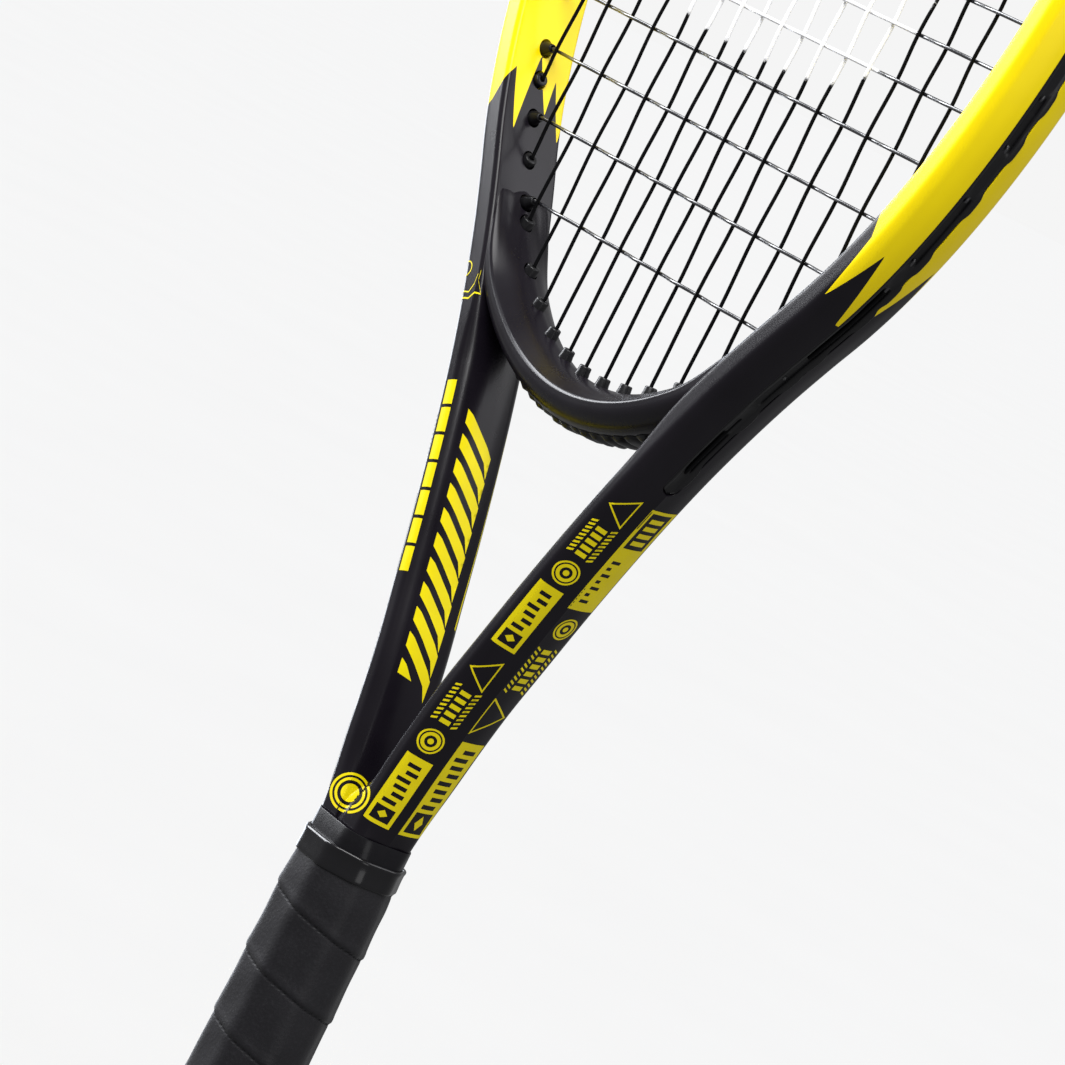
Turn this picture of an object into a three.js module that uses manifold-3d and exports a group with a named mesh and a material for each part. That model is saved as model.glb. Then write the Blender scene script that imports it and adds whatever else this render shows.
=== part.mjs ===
// Tennis racket, strung: hollow-section composite frame with an open throat,
// octagonal wrapped handle, grommet strips, bumper guard and a 16 x 19 string bed.
//
// Frame of the part: +Z runs along the racket from the butt end to the tip,
// X runs across the face and -Y is the front face of the head. The origin is
// the centre of the flat butt end. All lengths are millimetres.
import * as THREE from "three";
import { mergeVertices } from "three/addons/utils/BufferGeometryUtils.js";
import Module from "manifold-3d";

// ---------------------------------------------------------------- dimensions
const LENGTH = 685.8; // 27 in overall
const BEAM = 24; // frame depth, front to back
const WALL_IN_PLANE = 12.4; // frame width seen from the front
const HEAD_HALF_WIDTH = 123.5; // inside of the hoop
const HEAD_BOTTOM = 344.5; // inside of the hoop at the throat bridge
const HEAD_WIDEST_Z = 536;
const HEAD_TOP = LENGTH - 1.5 - WALL_IN_PLANE; // inside of the hoop at the tip
const HEAD_TOP_POWER = 2.12; // squareness of the upper half of the hoop
const GROOVE_DEPTH = 3;
const GROOVE_HALF = 3.2;
const GROOVE_START_Z = 331;
const STRING_D = 1.3;
const STRING_R4 = (STRING_D / 2) * 1.12; // corner radius of its four-sided section
const GAP = 0.3; // clearance between neighbouring pieces
const MAIN_X = [5.58, 16.5, 27.7, 39.9, 52.75, 66.1, 79.86, 93.84];
const CROSS_Z = [
  381.5, 404.3, 424.2, 443.5, 461.3, 475.5, 490.1, 503.9, 517.1, 530.1, 543.0,
  555.8, 568.5, 581.1, 593.5, 605.6, 617.6, 631.0, 645.5,
];
const WEAVE = 1.95; // how far a cross stands off the plane of the mains
const BARREL_R = 1.7; // grommet barrel, outside
const BARREL_BORE_R = 1.05;
const BARREL_HOLE_R = 2.1; // hole in the frame
const BARREL_STICKOUT = 3.2; // barrel past the inside of the hoop
const BRIDGE_HEIGHT = 14;
const BRIDGE_DEPTH = 22;
const GRIP_TOP_Z = 187;
const COLLAR_Z = [186, 193.5];
const TAPE_Z = [180, 198.5];
const PALLET = { a: 14.8, b: 13.3, c: 8.4 }; // octagon: half width, half depth, corner cut
const PALLET_Z = [3.6, 175];
const WRAP_T = 1.7;
const WRAP_PITCH = 21.3;
const WRAP_PHASE = -4; // shifts every seam along the handle
const BUMPER_END_Z = 598; // lower ends of the head guard
const STRIP_OUT = 4.4; // outer face of the strips, from the tube's centre line
const STRING_OUT = 5.35; // string loops in the groove, from the centre line

const wasm = await Module();
wasm.setup();

// ------------------------------------------------------------------- helpers
const V3 = (x, y, z) => new THREE.Vector3(x, y, z);

function volume6(positions, index) {
  let v = 0;
  const a = V3(), b = V3(), c = V3();
  for (let i = 0; i < index.length; i += 3) {
    a.fromArray(positions, index[i] * 3);
    b.fromArray(positions, index[i + 1] * 3);
    c.fromArray(positions, index[i + 2] * 3);
    v += a.dot(b.cross(c));
  }
  return v;
}

// A closed body through rings of points. Each ring is an array of Vector3 and
// ring k lies on the 2-D outline flats[k], which gives the end caps.
function loft(rings, flat0, flat1 = flat0) {
  const n = rings[0].length;
  const positions = rings.flat().flatMap((p) => [p.x, p.y, p.z]);
  const index = [];
  for (let i = 0; i + 1 < rings.length; i++)
    for (let j = 0; j < n; j++) {
      const a = i * n + j, b = i * n + ((j + 1) % n);
      index.push(a, b, b + n, a, b + n, a + n);
    }
  // every cap edge must run against the side edge that it shares
  const seen = new Set();
  const edges = [[0, 1], [1, 2], [2, 0]];
  for (let i = 0; i < index.length; i += 3)
    for (const [p, q] of edges) seen.add(index[i + p] + "," + index[i + q]);
  const cap = (flat, base) => {
    const contour = flat.map(([u, v]) => new THREE.Vector2(u, v));
    const faces = THREE.ShapeUtils.triangulateShape(contour, []).map((f) => f.map((k) => base + k));
    const clash = faces.some((f) => edges.some(([p, q]) => seen.has(f[p] + "," + f[q])));
    for (const [p, q, r] of faces) clash ? index.push(p, r, q) : index.push(p, q, r);
  };
  cap(flat0, 0);
  cap(flat1, (rings.length - 1) * n);
  if (volume6(positions, index) < 0)
    for (let i = 0; i < index.length; i += 3)
      [index[i + 1], index[i + 2]] = [index[i + 2], index[i + 1]];
  const g = new THREE.BufferGeometry();
  g.setAttribute("position", new THREE.BufferAttribute(new Float32Array(positions), 3));
  g.setIndex(index);
  return g;
}

function solid(geometry) {
  const g = geometry.clone();
  for (const k of Object.keys(g.attributes)) if (k !== "position") g.deleteAttribute(k);
  const m = mergeVertices(g, 1e-4);
  return new wasm.Manifold(
    new wasm.Mesh({
      numProp: 3,
      vertProperties: m.attributes.position.array,
      triVerts: new Uint32Array(m.index.array),
    }),
  );
}

function geometryOf(s) {
  const m = s.getMesh(), n = m.numProp;
  const v = new Float32Array(m.numVert * 3);
  for (let i = 0; i < m.numVert; i++) v.set(m.vertProperties.subarray(i * n, i * n + 3), i * 3);
  return new THREE.BufferGeometry()
    .setAttribute("position", new THREE.BufferAttribute(v, 3))
    .setIndex(new THREE.BufferAttribute(new Uint32Array(m.triVerts), 1));
}

const union = (list) => list.reduce((a, b) => a.add(b));
const largest = (s) => s.decompose().reduce((a, b) => (a.volume() > b.volume() ? a : b));

// A straight prism of `sides` sides from p to q.
function rod(p, q, r, sides = 6, turn = 0) {
  const g = new THREE.CylinderGeometry(r, r, p.distanceTo(q), sides, 1);
  g.rotateY(turn);
  const rot = new THREE.Quaternion().setFromUnitVectors(V3(0, 1, 0), q.clone().sub(p).normalize());
  g.applyQuaternion(rot);
  const c = p.clone().add(q).multiplyScalar(0.5);
  g.translate(c.x, c.y, c.z);
  return solid(g);
}

const box = (sx, sy, sz, x, y, z) => solid(new THREE.BoxGeometry(sx, sy, sz).translate(x, y, z));

// A string along a polyline: each stretch is an exact prism, mitred where it
// turns. scale[i] widens the ring at point i (a tied-off end).
function stringGeometry(pts, r, sides, scale = {}) {
  const dirs = [];
  for (let i = 0; i + 1 < pts.length; i++) dirs.push(pts[i + 1].clone().sub(pts[i]).normalize());
  const up = Math.abs(dirs[0].y) < 0.9 ? V3(0, 1, 0) : V3(1, 0, 0);
  const e1 = up.clone().cross(dirs[0]).normalize(), e2 = dirs[0].clone().cross(e1);
  const flat = [];
  let ring = [];
  for (let k = 0; k < sides; k++) {
    const a = (2 * Math.PI * (k + 0.5)) / sides;
    flat.push([Math.cos(a) * r, Math.sin(a) * r]);
    ring.push(pts[0].clone().addScaledVector(e1, Math.cos(a) * r).addScaledVector(e2, Math.sin(a) * r));
  }
  const rings = [ring];
  for (let i = 1; i < pts.length; i++) {
    const d1 = dirs[i - 1], d2 = i < dirs.length ? dirs[i] : d1;
    const n = d1.clone().add(d2).normalize();
    ring = ring.map((p) => {
      const t = pts[i].clone().sub(p).dot(n) / d1.dot(n);
      return p.clone().addScaledVector(d1, t);
    });
    rings.push(ring);
  }
  const out = rings.map((rg, i) =>
    scale[i] ? rg.map((p) => pts[i].clone().lerp(p, scale[i])) : rg);
  return loft(out, flat);
}

// ------------------------------------------------ the inside line of the hoop
// t runs from -90 deg (throat) through 0 (widest) to 90 deg (tip).
function hoopInner(t) {
  const c = Math.cos(t), s = Math.sin(t);
  if (s <= 0) {
    const b = HEAD_WIDEST_Z - HEAD_BOTTOM;
    return [HEAD_HALF_WIDTH * c, HEAD_WIDEST_Z + b * s];
  }
  const b = HEAD_TOP - HEAD_WIDEST_Z, e = 2 / HEAD_TOP_POWER;
  return [HEAD_HALF_WIDTH * Math.pow(Math.max(c, 0), e), HEAD_WIDEST_Z + b * Math.pow(s, e)];
}
function hoopNormal(t) {
  const [x, z] = hoopInner(t), s = z > HEAD_WIDEST_Z;
  const b = s ? HEAD_TOP - HEAD_WIDEST_Z : HEAD_WIDEST_Z - HEAD_BOTTOM;
  const n = s ? HEAD_TOP_POWER : 2;
  const gx = Math.pow(Math.max(x, 0) / HEAD_HALF_WIDTH, n - 1) / HEAD_HALF_WIDTH;
  const gz = (Math.sign(z - HEAD_WIDEST_Z) * Math.pow(Math.abs(z - HEAD_WIDEST_Z) / b, n - 1)) / b;
  const l = Math.hypot(gx, gz);
  return [gx / l, gz / l];
}

// ------------------------- centre line of the right half of the frame tube
const HW = WALL_IN_PLANE / 2, HT = BEAM / 2;
const legs = [
  [5.9, 5], [5.9, 60], [5.9, 130], [5.9, 172], [6.3, 186], [8.0, 199], [11.0, 213], [14.6, 229],
  [19.8, 248], [25.8, 265], [32.6, 284], [40.0, 303], [47.6, 321], [55.4, 337.5], [64.6, 354.5],
  [73.8, 369.8], [82.9, 383.4],
];
const hoopPts = [];
for (let d = -46.0; d < 89.9; d += 4) {
  const t = (d * Math.PI) / 180, [x, z] = hoopInner(t), [nx, nz] = hoopNormal(t);
  hoopPts.push([x + nx * HW, z + nz * HW]);
}
const spine = new THREE.CatmullRomCurve3(
  [...legs, ...hoopPts, [0, HEAD_TOP + HW]].map(([x, z]) => V3(x, 0, z)), false, "centripetal");
spine.arcLengthDivisions = 3000;

// Stations of the tube: position, outward normal, and where the groove is.
function makeStations() {
  const total = spine.getLength(), list = [];
  const zOf = (u) => spine.getPointAt(u).z;
  // arc positions: sparse in the handle, even along the arms and the hoop
  const us = [0];
  let u = 0;
  const legEnd = (() => { let a = 0, b = 0.6; for (let i = 0; i < 60; i++) { const m = (a + b) / 2; if (zOf(m) < 178) a = m; else b = m; } return a; })();
  us.push(legEnd);
  for (u = legEnd + 9 / total; u < 1 - 4 / total; u += (spine.getPointAt(u).z < 240 ? 9.5 : spine.getPointAt(u).z < 300 ? 15 : spine.getPointAt(u).z < 345 ? 7.5 : 15.5) / total) us.push(u);
  us.push(1);
  for (const v of us) {
    const p = spine.getPointAt(v), t = spine.getTangentAt(v);
    if (v === 0 || v === legEnd) t.set(0, 0, 1);
    if (v === 1) t.set(-1, 0, 0);
    list.push({ x: p.x, z: p.z, nx: t.z, nz: -t.x });
  }
  // two close stations where the groove begins
  const k = list.findIndex((s) => s.z > GROOVE_START_Z - 3);
  return { list, grooveFrom: k };
}
const { list: ST, grooveFrom: G0 } = makeStations();
const NS = ST.length;

function tubeSection(i, grow = 0, groove = true) {
  const s = ST[i], z = s.z;
  const k = THREE.MathUtils.smoothstep(z, 180, 230); // handle leg -> open arm
  const hw = HW + grow, ht = THREE.MathUtils.lerp(10.2, HT, k) + grow;
  const cu = THREE.MathUtils.lerp(4.0, 3.4, k), cv = THREE.MathUtils.lerp(4.0, 4.4, k);
  const g = groove && i >= G0 ? GROOVE_DEPTH : 0;
  return [
    [hw, GROOVE_HALF + 0.15], [hw - g, GROOVE_HALF], [hw - g, -GROOVE_HALF], [hw, -GROOVE_HALF - 0.15],
    [hw, -(ht - cv)], [hw - cu, -ht], [-(hw - cu), -ht], [-hw, -(ht - cv)],
    [-hw, ht - cv], [-(hw - cu), ht], [hw - cu, ht], [hw, ht - cv],
  ];
}
const place = (s, [u, v], side = 1) => V3(side * (s.x + s.nx * u), v, s.z + s.nz * u);

function tubeHalf(side, grow, groove) {
  const rings = [], n = NS - 1;
  for (let i = 0; i < NS; i++) {
    const sec = tubeSection(i, grow, groove);
    let pts = sec.map((q) => place(ST[i], q, 1));
    if (i === n) pts = pts.map((p) => V3(p.x - 0.4, p.y, p.z)); // halves overlap at the tip
    if (ST[i].z < 200) pts = pts.map((p) => V3(Math.max(p.x, -0.5), p.y, p.z));
    rings.push(pts.map((p) => V3(side * p.x, p.y, p.z)));
  }
  return solid(loft(rings, tubeSection(0, grow, groove), tubeSection(n, grow, groove)));
}

// a line at distance u outside the tube's centre line, right side
const offsetLine = (u, from = 0, to = NS - 1) => {
  const out = [];
  for (let i = from; i <= to; i++) out.push([ST[i].x + ST[i].nx * u, ST[i].z + ST[i].nz * u, i]);
  return out;
};
// where a ray from w along d meets a polyline; returns point, segment, fraction
function meet(line, w, d) {
  let best = null;
  for (let i = 0; i + 1 < line.length; i++) {
    const [ax, az] = line[i], [bx, bz] = line[i + 1];
    const ex = bx - ax, ez = bz - az, det = d[0] * -ez + ex * d[1];
    if (Math.abs(det) < 1e-9) continue;
    const t = ((ax - w[0]) * -ez + ex * (az - w[1])) / det;
    const f = (d[0] * (az - w[1]) - d[1] * (ax - w[0])) / det;
    if (t > 0 && f >= -1e-9 && f <= 1 + 1e-9 && (!best || t < best.t)) best = { t, i, f, x: w[0] + d[0] * t, z: w[1] + d[1] * t };
  }
  return best;
}

// ------------------------------------------------------------ throat bridge
const BH = BRIDGE_HEIGHT / 2;
const bridgeSt = [];
for (let k = -11; k <= 11; k++) {
  const x = (k / 11) * 66, t = -Math.acos(Math.abs(x) / HEAD_HALF_WIDTH);
  const [, z] = hoopInner(t), [nx, nz] = hoopNormal(t);
  const sg = Math.sign(x) || 1;
  bridgeSt.push({ x: x + sg * nx * BH, z: z + nz * BH, nx: sg * nx, nz });
}
bridgeSt[11].nx = 0; bridgeSt[11].nz = -1; bridgeSt[11].x = 0;
const bridgeSection = (k, extra = 0) => {
  const ht = BRIDGE_DEPTH / 2, g = Math.abs(bridgeSt[k].x) < 54 ? GROOVE_DEPTH : 0;
  return [
    [BH, GROOVE_HALF + 0.15], [BH - g, GROOVE_HALF], [BH - g, -GROOVE_HALF], [BH, -GROOVE_HALF - 0.15],
    [BH, -(ht - 4)], [BH - 3.5, -ht], [-(BH - 4), -ht], [-BH, -(ht - 4)],
    [-BH, ht - 4], [-(BH - 4), ht], [BH - 3.5, ht], [BH, ht - 4],
  ];
};
const bridgeLine = (u) => bridgeSt.map((s, i) => [s.x + s.nx * u, s.z + s.nz * u, i]);

// ------------------------------------------------------------ string holes
// Each hole: mouth (where the string leaves the barrel inside the hoop), exit
// (on the string line outside), direction, and the strip it belongs to.
const tubeOut = offsetLine(STRING_OUT), bridgeOut = bridgeLine(BH - GROOVE_DEPTH + 2.35);
const stripOutTube = offsetLine(STRIP_OUT);

function makeHole(kind, value, end) {
  // d: direction in which the string leaves the bed
  const reach = BARREL_STICKOUT + (kind === "main" ? 1.1 : 0.4);
  const d = kind === "main" ? [0, end === "top" ? 1 : -1] : [1, 0];
  const bend = kind === "cross" ? 0.5 : end === "top" ? 0.5 : value < 50 ? 1 : value < 70 ? 1.6 : value < 85 ? 0.8 : 0.5;
  const at = (t) => {
    const w = hoopInner(t), n = hoopNormal(t);
    let b = [n[0] + d[0] * bend, n[1] + d[1] * bend];
    const l = Math.hypot(...b);
    b = [b[0] / l, b[1] / l];
    return { w, b, m: [w[0] - b[0] * reach, w[1] - b[1] * reach] };
  };
  let lo, hi, f;
  if (kind === "main") {
    [lo, hi] = end === "top" ? [0.05, Math.PI / 2] : [-Math.PI / 2, -0.05];
    f = (t) => (end === "top" ? value - at(t).m[0] : at(t).m[0] - value);
  } else {
    [lo, hi] = [-1.45, 1.45];
    f = (t) => at(t).m[1] - value;
  }
  for (let i = 0; i < 60; i++) {
    const m = (lo + hi) / 2;
    if (f(m) < 0) lo = m; else hi = m;
  }
  const h = at((lo + hi) / 2);
  const onBridge = kind === "main" && end === "bottom" && value < 45;
  const line = onBridge ? bridgeOut : tubeOut;
  const e = meet(line, h.w, h.b);
  return { kind, value, end, onBridge, w: h.w, b: h.b, m: h.m, exit: [e.x, e.z], at: e.i + e.f, onBumper: !onBridge && e.z > BUMPER_END_Z + 4 };
}
const holes = [];
for (const x of MAIN_X) holes.push(makeHole("main", x, "bottom"), makeHole("main", x, "top"));
for (const z of CROSS_Z) holes.push(makeHole("cross", z, "side"));

const P3 = ([x, z], side, y = 0) => V3(side * x, y, z);
const along = (h, t) => [h.w[0] + h.b[0] * t, h.w[1] + h.b[1] * t];
const exitLen = (h) => Math.hypot(h.exit[0] - h.w[0], h.exit[1] - h.w[1]);

const frameHoles = [], barrels = { left: [], right: [], head: [], throat: [] }, bores = { left: [], right: [], head: [], throat: [] };
for (const h of holes)
  for (const side of [-1, 1]) {
    const L = exitLen(h), strip = h.onBridge ? "throat" : h.onBumper ? "head" : side < 0 ? "left" : "right";
    frameHoles.push(rod(P3(along(h, -6), side), P3(along(h, L + 6), side), BARREL_HOLE_R, 5));
    barrels[strip].push(rod(P3(along(h, -BARREL_STICKOUT), side), P3(along(h, L - 1.15), side), BARREL_R, 5));
    bores[strip].push(rod(P3(along(h, -BARREL_STICKOUT - 2), side), P3(along(h, L + 3), side), BARREL_BORE_R, 5));
  }
const allHoles = union(frameHoles);

// ---------------------------------------------------------------- materials
const mat = (color, roughness, metalness = 0) => new THREE.MeshStandardMaterial({ color, roughness, metalness });
const PAINT = mat(0x1f1f24, 0.3), YELLOW = mat(0xf2ee05, 0.3), STRING = mat(0x151518, 0.35),
  STRIP = mat(0x17171a, 0.55), GRIP = mat(0x232227, 0.6), RUBBER = mat(0x141317, 0.25),
  FOAM = mat(0xb9a77a, 0.9), CAP = mat(0x1a1a1c, 0.5), STEEL = mat(0xb8bcc2, 0.35, 1), TAPE = mat(0x202024, 0.45);

const group = new THREE.Group();
const add = (name, geometry, material) => {
  const m = new THREE.Mesh(geometry, material);
  m.name = name;
  group.add(m);
  return m;
};

// --------------------------------------------------------------- frame tube
const tubes = tubeHalf(1, 0, true).add(tubeHalf(-1, 0, true));
// crotch of the throat: the legs are joined by a web with a rounded top
const web = box(15, 21.4, 36, 0, 0, 208).subtract(rod(V3(0, -20, 231.5), V3(0, 20, 231.5), 7.2, 20));
const frameSolid = largest(tubes.add(web).subtract(allHoles));
add("frame_main_tube", geometryOf(frameSolid), PAINT);

// ------------------------------------------------------------ throat bridge
const clearTube = tubeHalf(1, GAP, false).add(tubeHalf(-1, GAP, false));
const bridgeRings = bridgeSt.map((s, k) => bridgeSection(k).map(([u, v]) => V3(s.x + s.nx * u, v, s.z + s.nz * u)));
const bridge = largest(
  solid(loft(bridgeRings, bridgeSection(0), bridgeSection(22))).subtract(clearTube).subtract(allHoles));
add("throat_bridge", geometryOf(bridge), PAINT);

// ----------------------------------------------------------- grommet strips
const stripSection = (lo, hi, half) => [[hi, half], [lo, half], [lo, -half], [hi, -half]];
function tubeStrip(side, from, to, trim0, trim1) {
  const sec = stripSection(HW - GROOVE_DEPTH + GAP, STRIP_OUT, GROOVE_HALF - 0.4);
  const rings = [];
  for (let i = from; i <= to; i++) rings.push(sec.map((q) => place(ST[i], q, side)));
  return solid(loft(rings, sec));
}
// the strips stop at the head guard
let bumpFrom = ST.findIndex((s) => s.z > BUMPER_END_Z);
if (bumpFrom < 0) throw new Error("no head guard");
const endShift = (ring, next, mm) => ring.map((p, i) => p.clone().lerp(next[i], mm / p.distanceTo(next[i])));
function sideStrip(side) {
  const sec = stripSection(HW - GROOVE_DEPTH + GAP, STRIP_OUT, GROOVE_HALF - 0.4);
  const rings = [];
  for (let i = G0; i <= bumpFrom; i++) rings.push(sec.map((q) => place(ST[i], q, side)));
  rings[0] = endShift(rings[0], rings[1], 0.6);
  const n = rings.length - 1;
  rings[n] = endShift(rings[n], rings[n - 1], 4.6);
  return solid(loft(rings, sec));
}
// barrel heads are flush with the outside of their strip
const flush = [-1, 1].map((side) => {
  const sec = stripSection(STRIP_OUT, 11, 7), rings = [];
  for (let i = G0 - 2; i < NS; i++) rings.push(sec.map((q) => place(ST[i], q, side)));
  return solid(loft(rings, sec));
});
for (const [name, side] of [["left", -1], ["right", 1]])
  add("grommet_strip_" + name,
    geometryOf(largest(union([sideStrip(side), ...barrels[name]]).subtract(flush[side < 0 ? 0 : 1]).subtract(union(bores[name])))), STRIP);

// throat strip, in the underside of the bridge
{
  const lo = BH - GROOVE_DEPTH + GAP, hi = BH - GROOVE_DEPTH + 1.2, sec = stripSection(lo, hi, GROOVE_HALF - 0.4);
  const rings = bridgeSt.filter((s) => Math.abs(s.x) < 50).map((s) => sec.map(([u, v]) => V3(s.x + s.nx * u, v, s.z + s.nz * u)));
  const outer = stripSection(hi, 12, 7);
  const cut = solid(loft(bridgeSt.map((s) => outer.map(([u, v]) => V3(s.x + s.nx * u, v, s.z + s.nz * u))), outer));
  const body = union([solid(loft(rings, sec)), ...barrels.throat]).subtract(cut).subtract(union(bores.throat)).subtract(clearTube);
  add("grommet_strip_throat", geometryOf(largest(body)), STRIP);
}

// head guard: a shell over the outside of the hoop with a channel for the strings
{
  const o = HW + GAP, T = 1.2, ht = HT, cv = 4.4, cu = 3.4;
  const sec = [
    [STRIP_OUT, 2.35], [STRIP_OUT, -2.35], [o + T, -2.5],
    [o + T, -(ht - cv) - 0.3], [o + T - 2.6, -ht + 0.9], [o - 2.3, -ht + 1.1 + 0.35], [o, -(ht - cv) + 0.1], [o, -3.02],
    [HW - GROOVE_DEPTH + GAP, -2.88], [HW - GROOVE_DEPTH + GAP, 2.88],
    [o, 3.02], [o, ht - cv - 0.1], [o - 2.3, ht - 1.1 - 0.35], [o + T - 2.6, ht - 0.9], [o + T, ht - cv + 0.3], [o + T, 2.5],
  ];
  const rings = [];
  const lower = (side) => endShift(sec.map((q) => place(ST[bumpFrom], q, side)), sec.map((q) => place(ST[bumpFrom - 1], q, side)), 4);
  rings.push(lower(1));
  for (let i = bumpFrom; i < NS - 1; i++) rings.push(sec.map((q) => place(ST[i], q, 1)));
  rings.push(sec.map(([u, v]) => V3(0, v, ST[NS - 1].z + u)));
  for (let i = NS - 2; i >= bumpFrom; i--) rings.push(sec.map((q) => place(ST[i], q, -1)));
  rings.push(lower(-1));
  const trimmed = union(barrels.head).subtract(flush[0]).subtract(flush[1]);
  const body = solid(loft(rings, sec)).add(trimmed).subtract(union(bores.head));
  add("head_bumper_guard", geometryOf(largest(body)), STRIP);
}

// ------------------------------------------------------------------ strings
// points along the groove between two exits, at depth y
function groovePath(line, a, b, side0, side1, y) {
  const pts = [], lerpAt = (q) => { const i = Math.min(Math.floor(q), line.length - 2), f = q - i; return [line[i][0] + (line[i + 1][0] - line[i][0]) * f, line[i][1] + (line[i + 1][1] - line[i][1]) * f]; };
  const segLen = (q) => { const i = Math.min(Math.floor(q), line.length - 2); return Math.hypot(line[i + 1][0] - line[i][0], line[i + 1][1] - line[i][1]); };
  if (side0 === side1) {
    const s = Math.sign(b - a), q0 = a + (s * 2.6) / segLen(a), q1 = b - (s * 2.6) / segLen(b);
    pts.push(P3(lerpAt(q0), side0, y));
    if (s > 0) { for (let i = Math.ceil(q0 + 0.1); i < q1 - 0.1; i++) pts.push(P3(line[i], side0, y)); }
    else for (let i = Math.floor(q0 - 0.1); i > q1 + 0.1; i--) pts.push(P3(line[i], side0, y));
    if (Math.abs(q1 - q0) > 0.05) pts.push(P3(lerpAt(q1), side0, y));
  } else {
    // over the tip
    const end = line.length - 1;
    const q0 = a + 2.6 / segLen(a), q1 = b + 2.6 / segLen(b);
    pts.push(P3(lerpAt(q0), side0, y));
    for (let i = Math.ceil(q0 + 0.15); i < end; i++) pts.push(P3(line[i], side0, y));
    pts.push(V3(0, y, line[end][1]));
    for (let i = end - 1; i > q1 + 0.15; i--) pts.push(P3(line[i], side1, y));
    pts.push(P3(lerpAt(q1), side1, y));
  }
  return pts;
}
const find = (kind, value, end) => holes.find((h) => h.kind === kind && h.value === value && (kind === "cross" || h.end === end));
// the turn from a barrel into the groove, towards direction t in the XZ plane
function turnOut(h, side, t) {
  const l = Math.hypot(...t), tx = t[0] / l, tz = t[1] / l;
  if (h.b[0] * tx + h.b[1] * tz > -0.3) return [P3(h.exit, side)];
  const p = along(h, exitLen(h) - 1.2);
  return [P3(p, side), P3([h.exit[0] + tx * 0.7, h.exit[1] + tz * 0.7], side)];
}
// direction along the tube's groove at a hole: +1 towards the tip
const grooveDir = (h, sign) => {
  const i = Math.floor(h.at), a = tubeOut[i], b = tubeOut[i + 1];
  return [(b[0] - a[0]) * sign, (b[1] - a[1]) * sign];
};
const NM = 16, mainAt = (k) => (k < 8 ? [-1, MAIN_X[7 - k]] : [1, MAIN_X[k - 8]]);
const Y_MAIN = -1.5, Y_CROSS = 1.5; // the two strings lie side by side in the groove
{
  // the first main starts tied off at the tip side, then throat and tip loops alternate
  const pts = [];
  const [s0, x0] = mainAt(0), h0 = find("main", x0, "top");
  const start = groovePath(tubeOut, h0.at, h0.at - 1.4, s0, s0, Y_MAIN);
  pts.push(...start.reverse());
  pts.push(...turnOut(h0, s0, grooveDir(h0, -1)).reverse());
  for (let k = 0; k < NM; k++) {
    const [s, x] = mainAt(k), down = k % 2 === 0;
    const first = find("main", x, down ? "top" : "bottom"), last = find("main", x, down ? "bottom" : "top");
    pts.push(P3(first.m, s), P3(last.m, s));
    const after = k + 1 < NM ? find("main", mainAt(k + 1)[1], down ? "bottom" : "top") : null;
    const same = after && mainAt(k + 1)[0] === s;
    const outDir = (h, g) => (h.onBridge ? [g.exit[0] * (same ? 1 : -1) - h.exit[0], g.exit[1] - h.exit[1]] : grooveDir(h, same ? Math.sign(g.at - h.at) : 1));
    if (after) pts.push(...turnOut(last, s, outDir(last, after)));
    else pts.push(...turnOut(last, s, grooveDir(last, -1)));
    if (k + 1 < NM) {
      const [s2, x2] = mainAt(k + 1), next = find("main", x2, down ? "bottom" : "top");
      if (last.onBridge) {
        const mid = (h, sg) => V3(sg * h.exit[0], 0, h.exit[1]);
        const a = mid(last, s), b = mid(next, s2), d = b.clone().sub(a).normalize();
        pts.push(a.clone().addScaledVector(d, 2.4).setY(Y_MAIN), b.clone().addScaledVector(d, -2.4).setY(Y_MAIN));
      } else pts.push(...groovePath(tubeOut, last.at, next.at, s, s2, Y_MAIN));
      pts.push(...turnOut(next, s2, outDir(next, last)).reverse());
    } else {
      pts.push(...groovePath(tubeOut, last.at, last.at - 1.4, s, s, Y_MAIN));
    }
  }
  add("main_string", stringGeometry(pts, STRING_R4, 4), STRING);
}
{
  // crosses: over and under each main in turn, looping down the sides in the groove
  const pts = [], n = CROSS_Z.length;
  const order = [...CROSS_Z.keys()].reverse();
  order.forEach((j, row) => {
    const z = CROSS_Z[j], h = find("cross", z), dir = row % 2 === 0 ? 1 : -1;
    const from = -dir, to = dir;
    if (row === 0) pts.push(...groovePath(tubeOut, h.at, h.at - 1.2, from, from, Y_CROSS).reverse());
    const back = row === 0 ? -1 : Math.sign(find("cross", CROSS_Z[order[row - 1]]).at - h.at);
    pts.push(...turnOut(h, from, grooveDir(h, back)).reverse(), P3(h.m, from));
    const xs = [];
    for (let k = 0; k < NM; k++) { const [s, x] = mainAt(k); if (x < h.m[0] - 1) xs.push([s * x, k]); }
    if (dir < 0) xs.reverse();
    for (const [x, k] of xs) pts.push(V3(x, ((k + j) % 2 ? -1 : 1) * WEAVE, z));
    const on = row + 1 < n ? Math.sign(find("cross", CROSS_Z[order[row + 1]]).at - h.at) : 1;
    pts.push(P3(h.m, to), ...turnOut(h, to, grooveDir(h, on)));
    if (row + 1 < n) {
      const g = find("cross", CROSS_Z[order[row + 1]]);
      pts.push(...groovePath(tubeOut, h.at, g.at, to, to, Y_CROSS));
    } else pts.push(...groovePath(tubeOut, h.at, h.at + 1.2, to, to, Y_CROSS));
  });
  add("cross_string", stringGeometry(pts, STRING_R4, 4), STRING);
}

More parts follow.
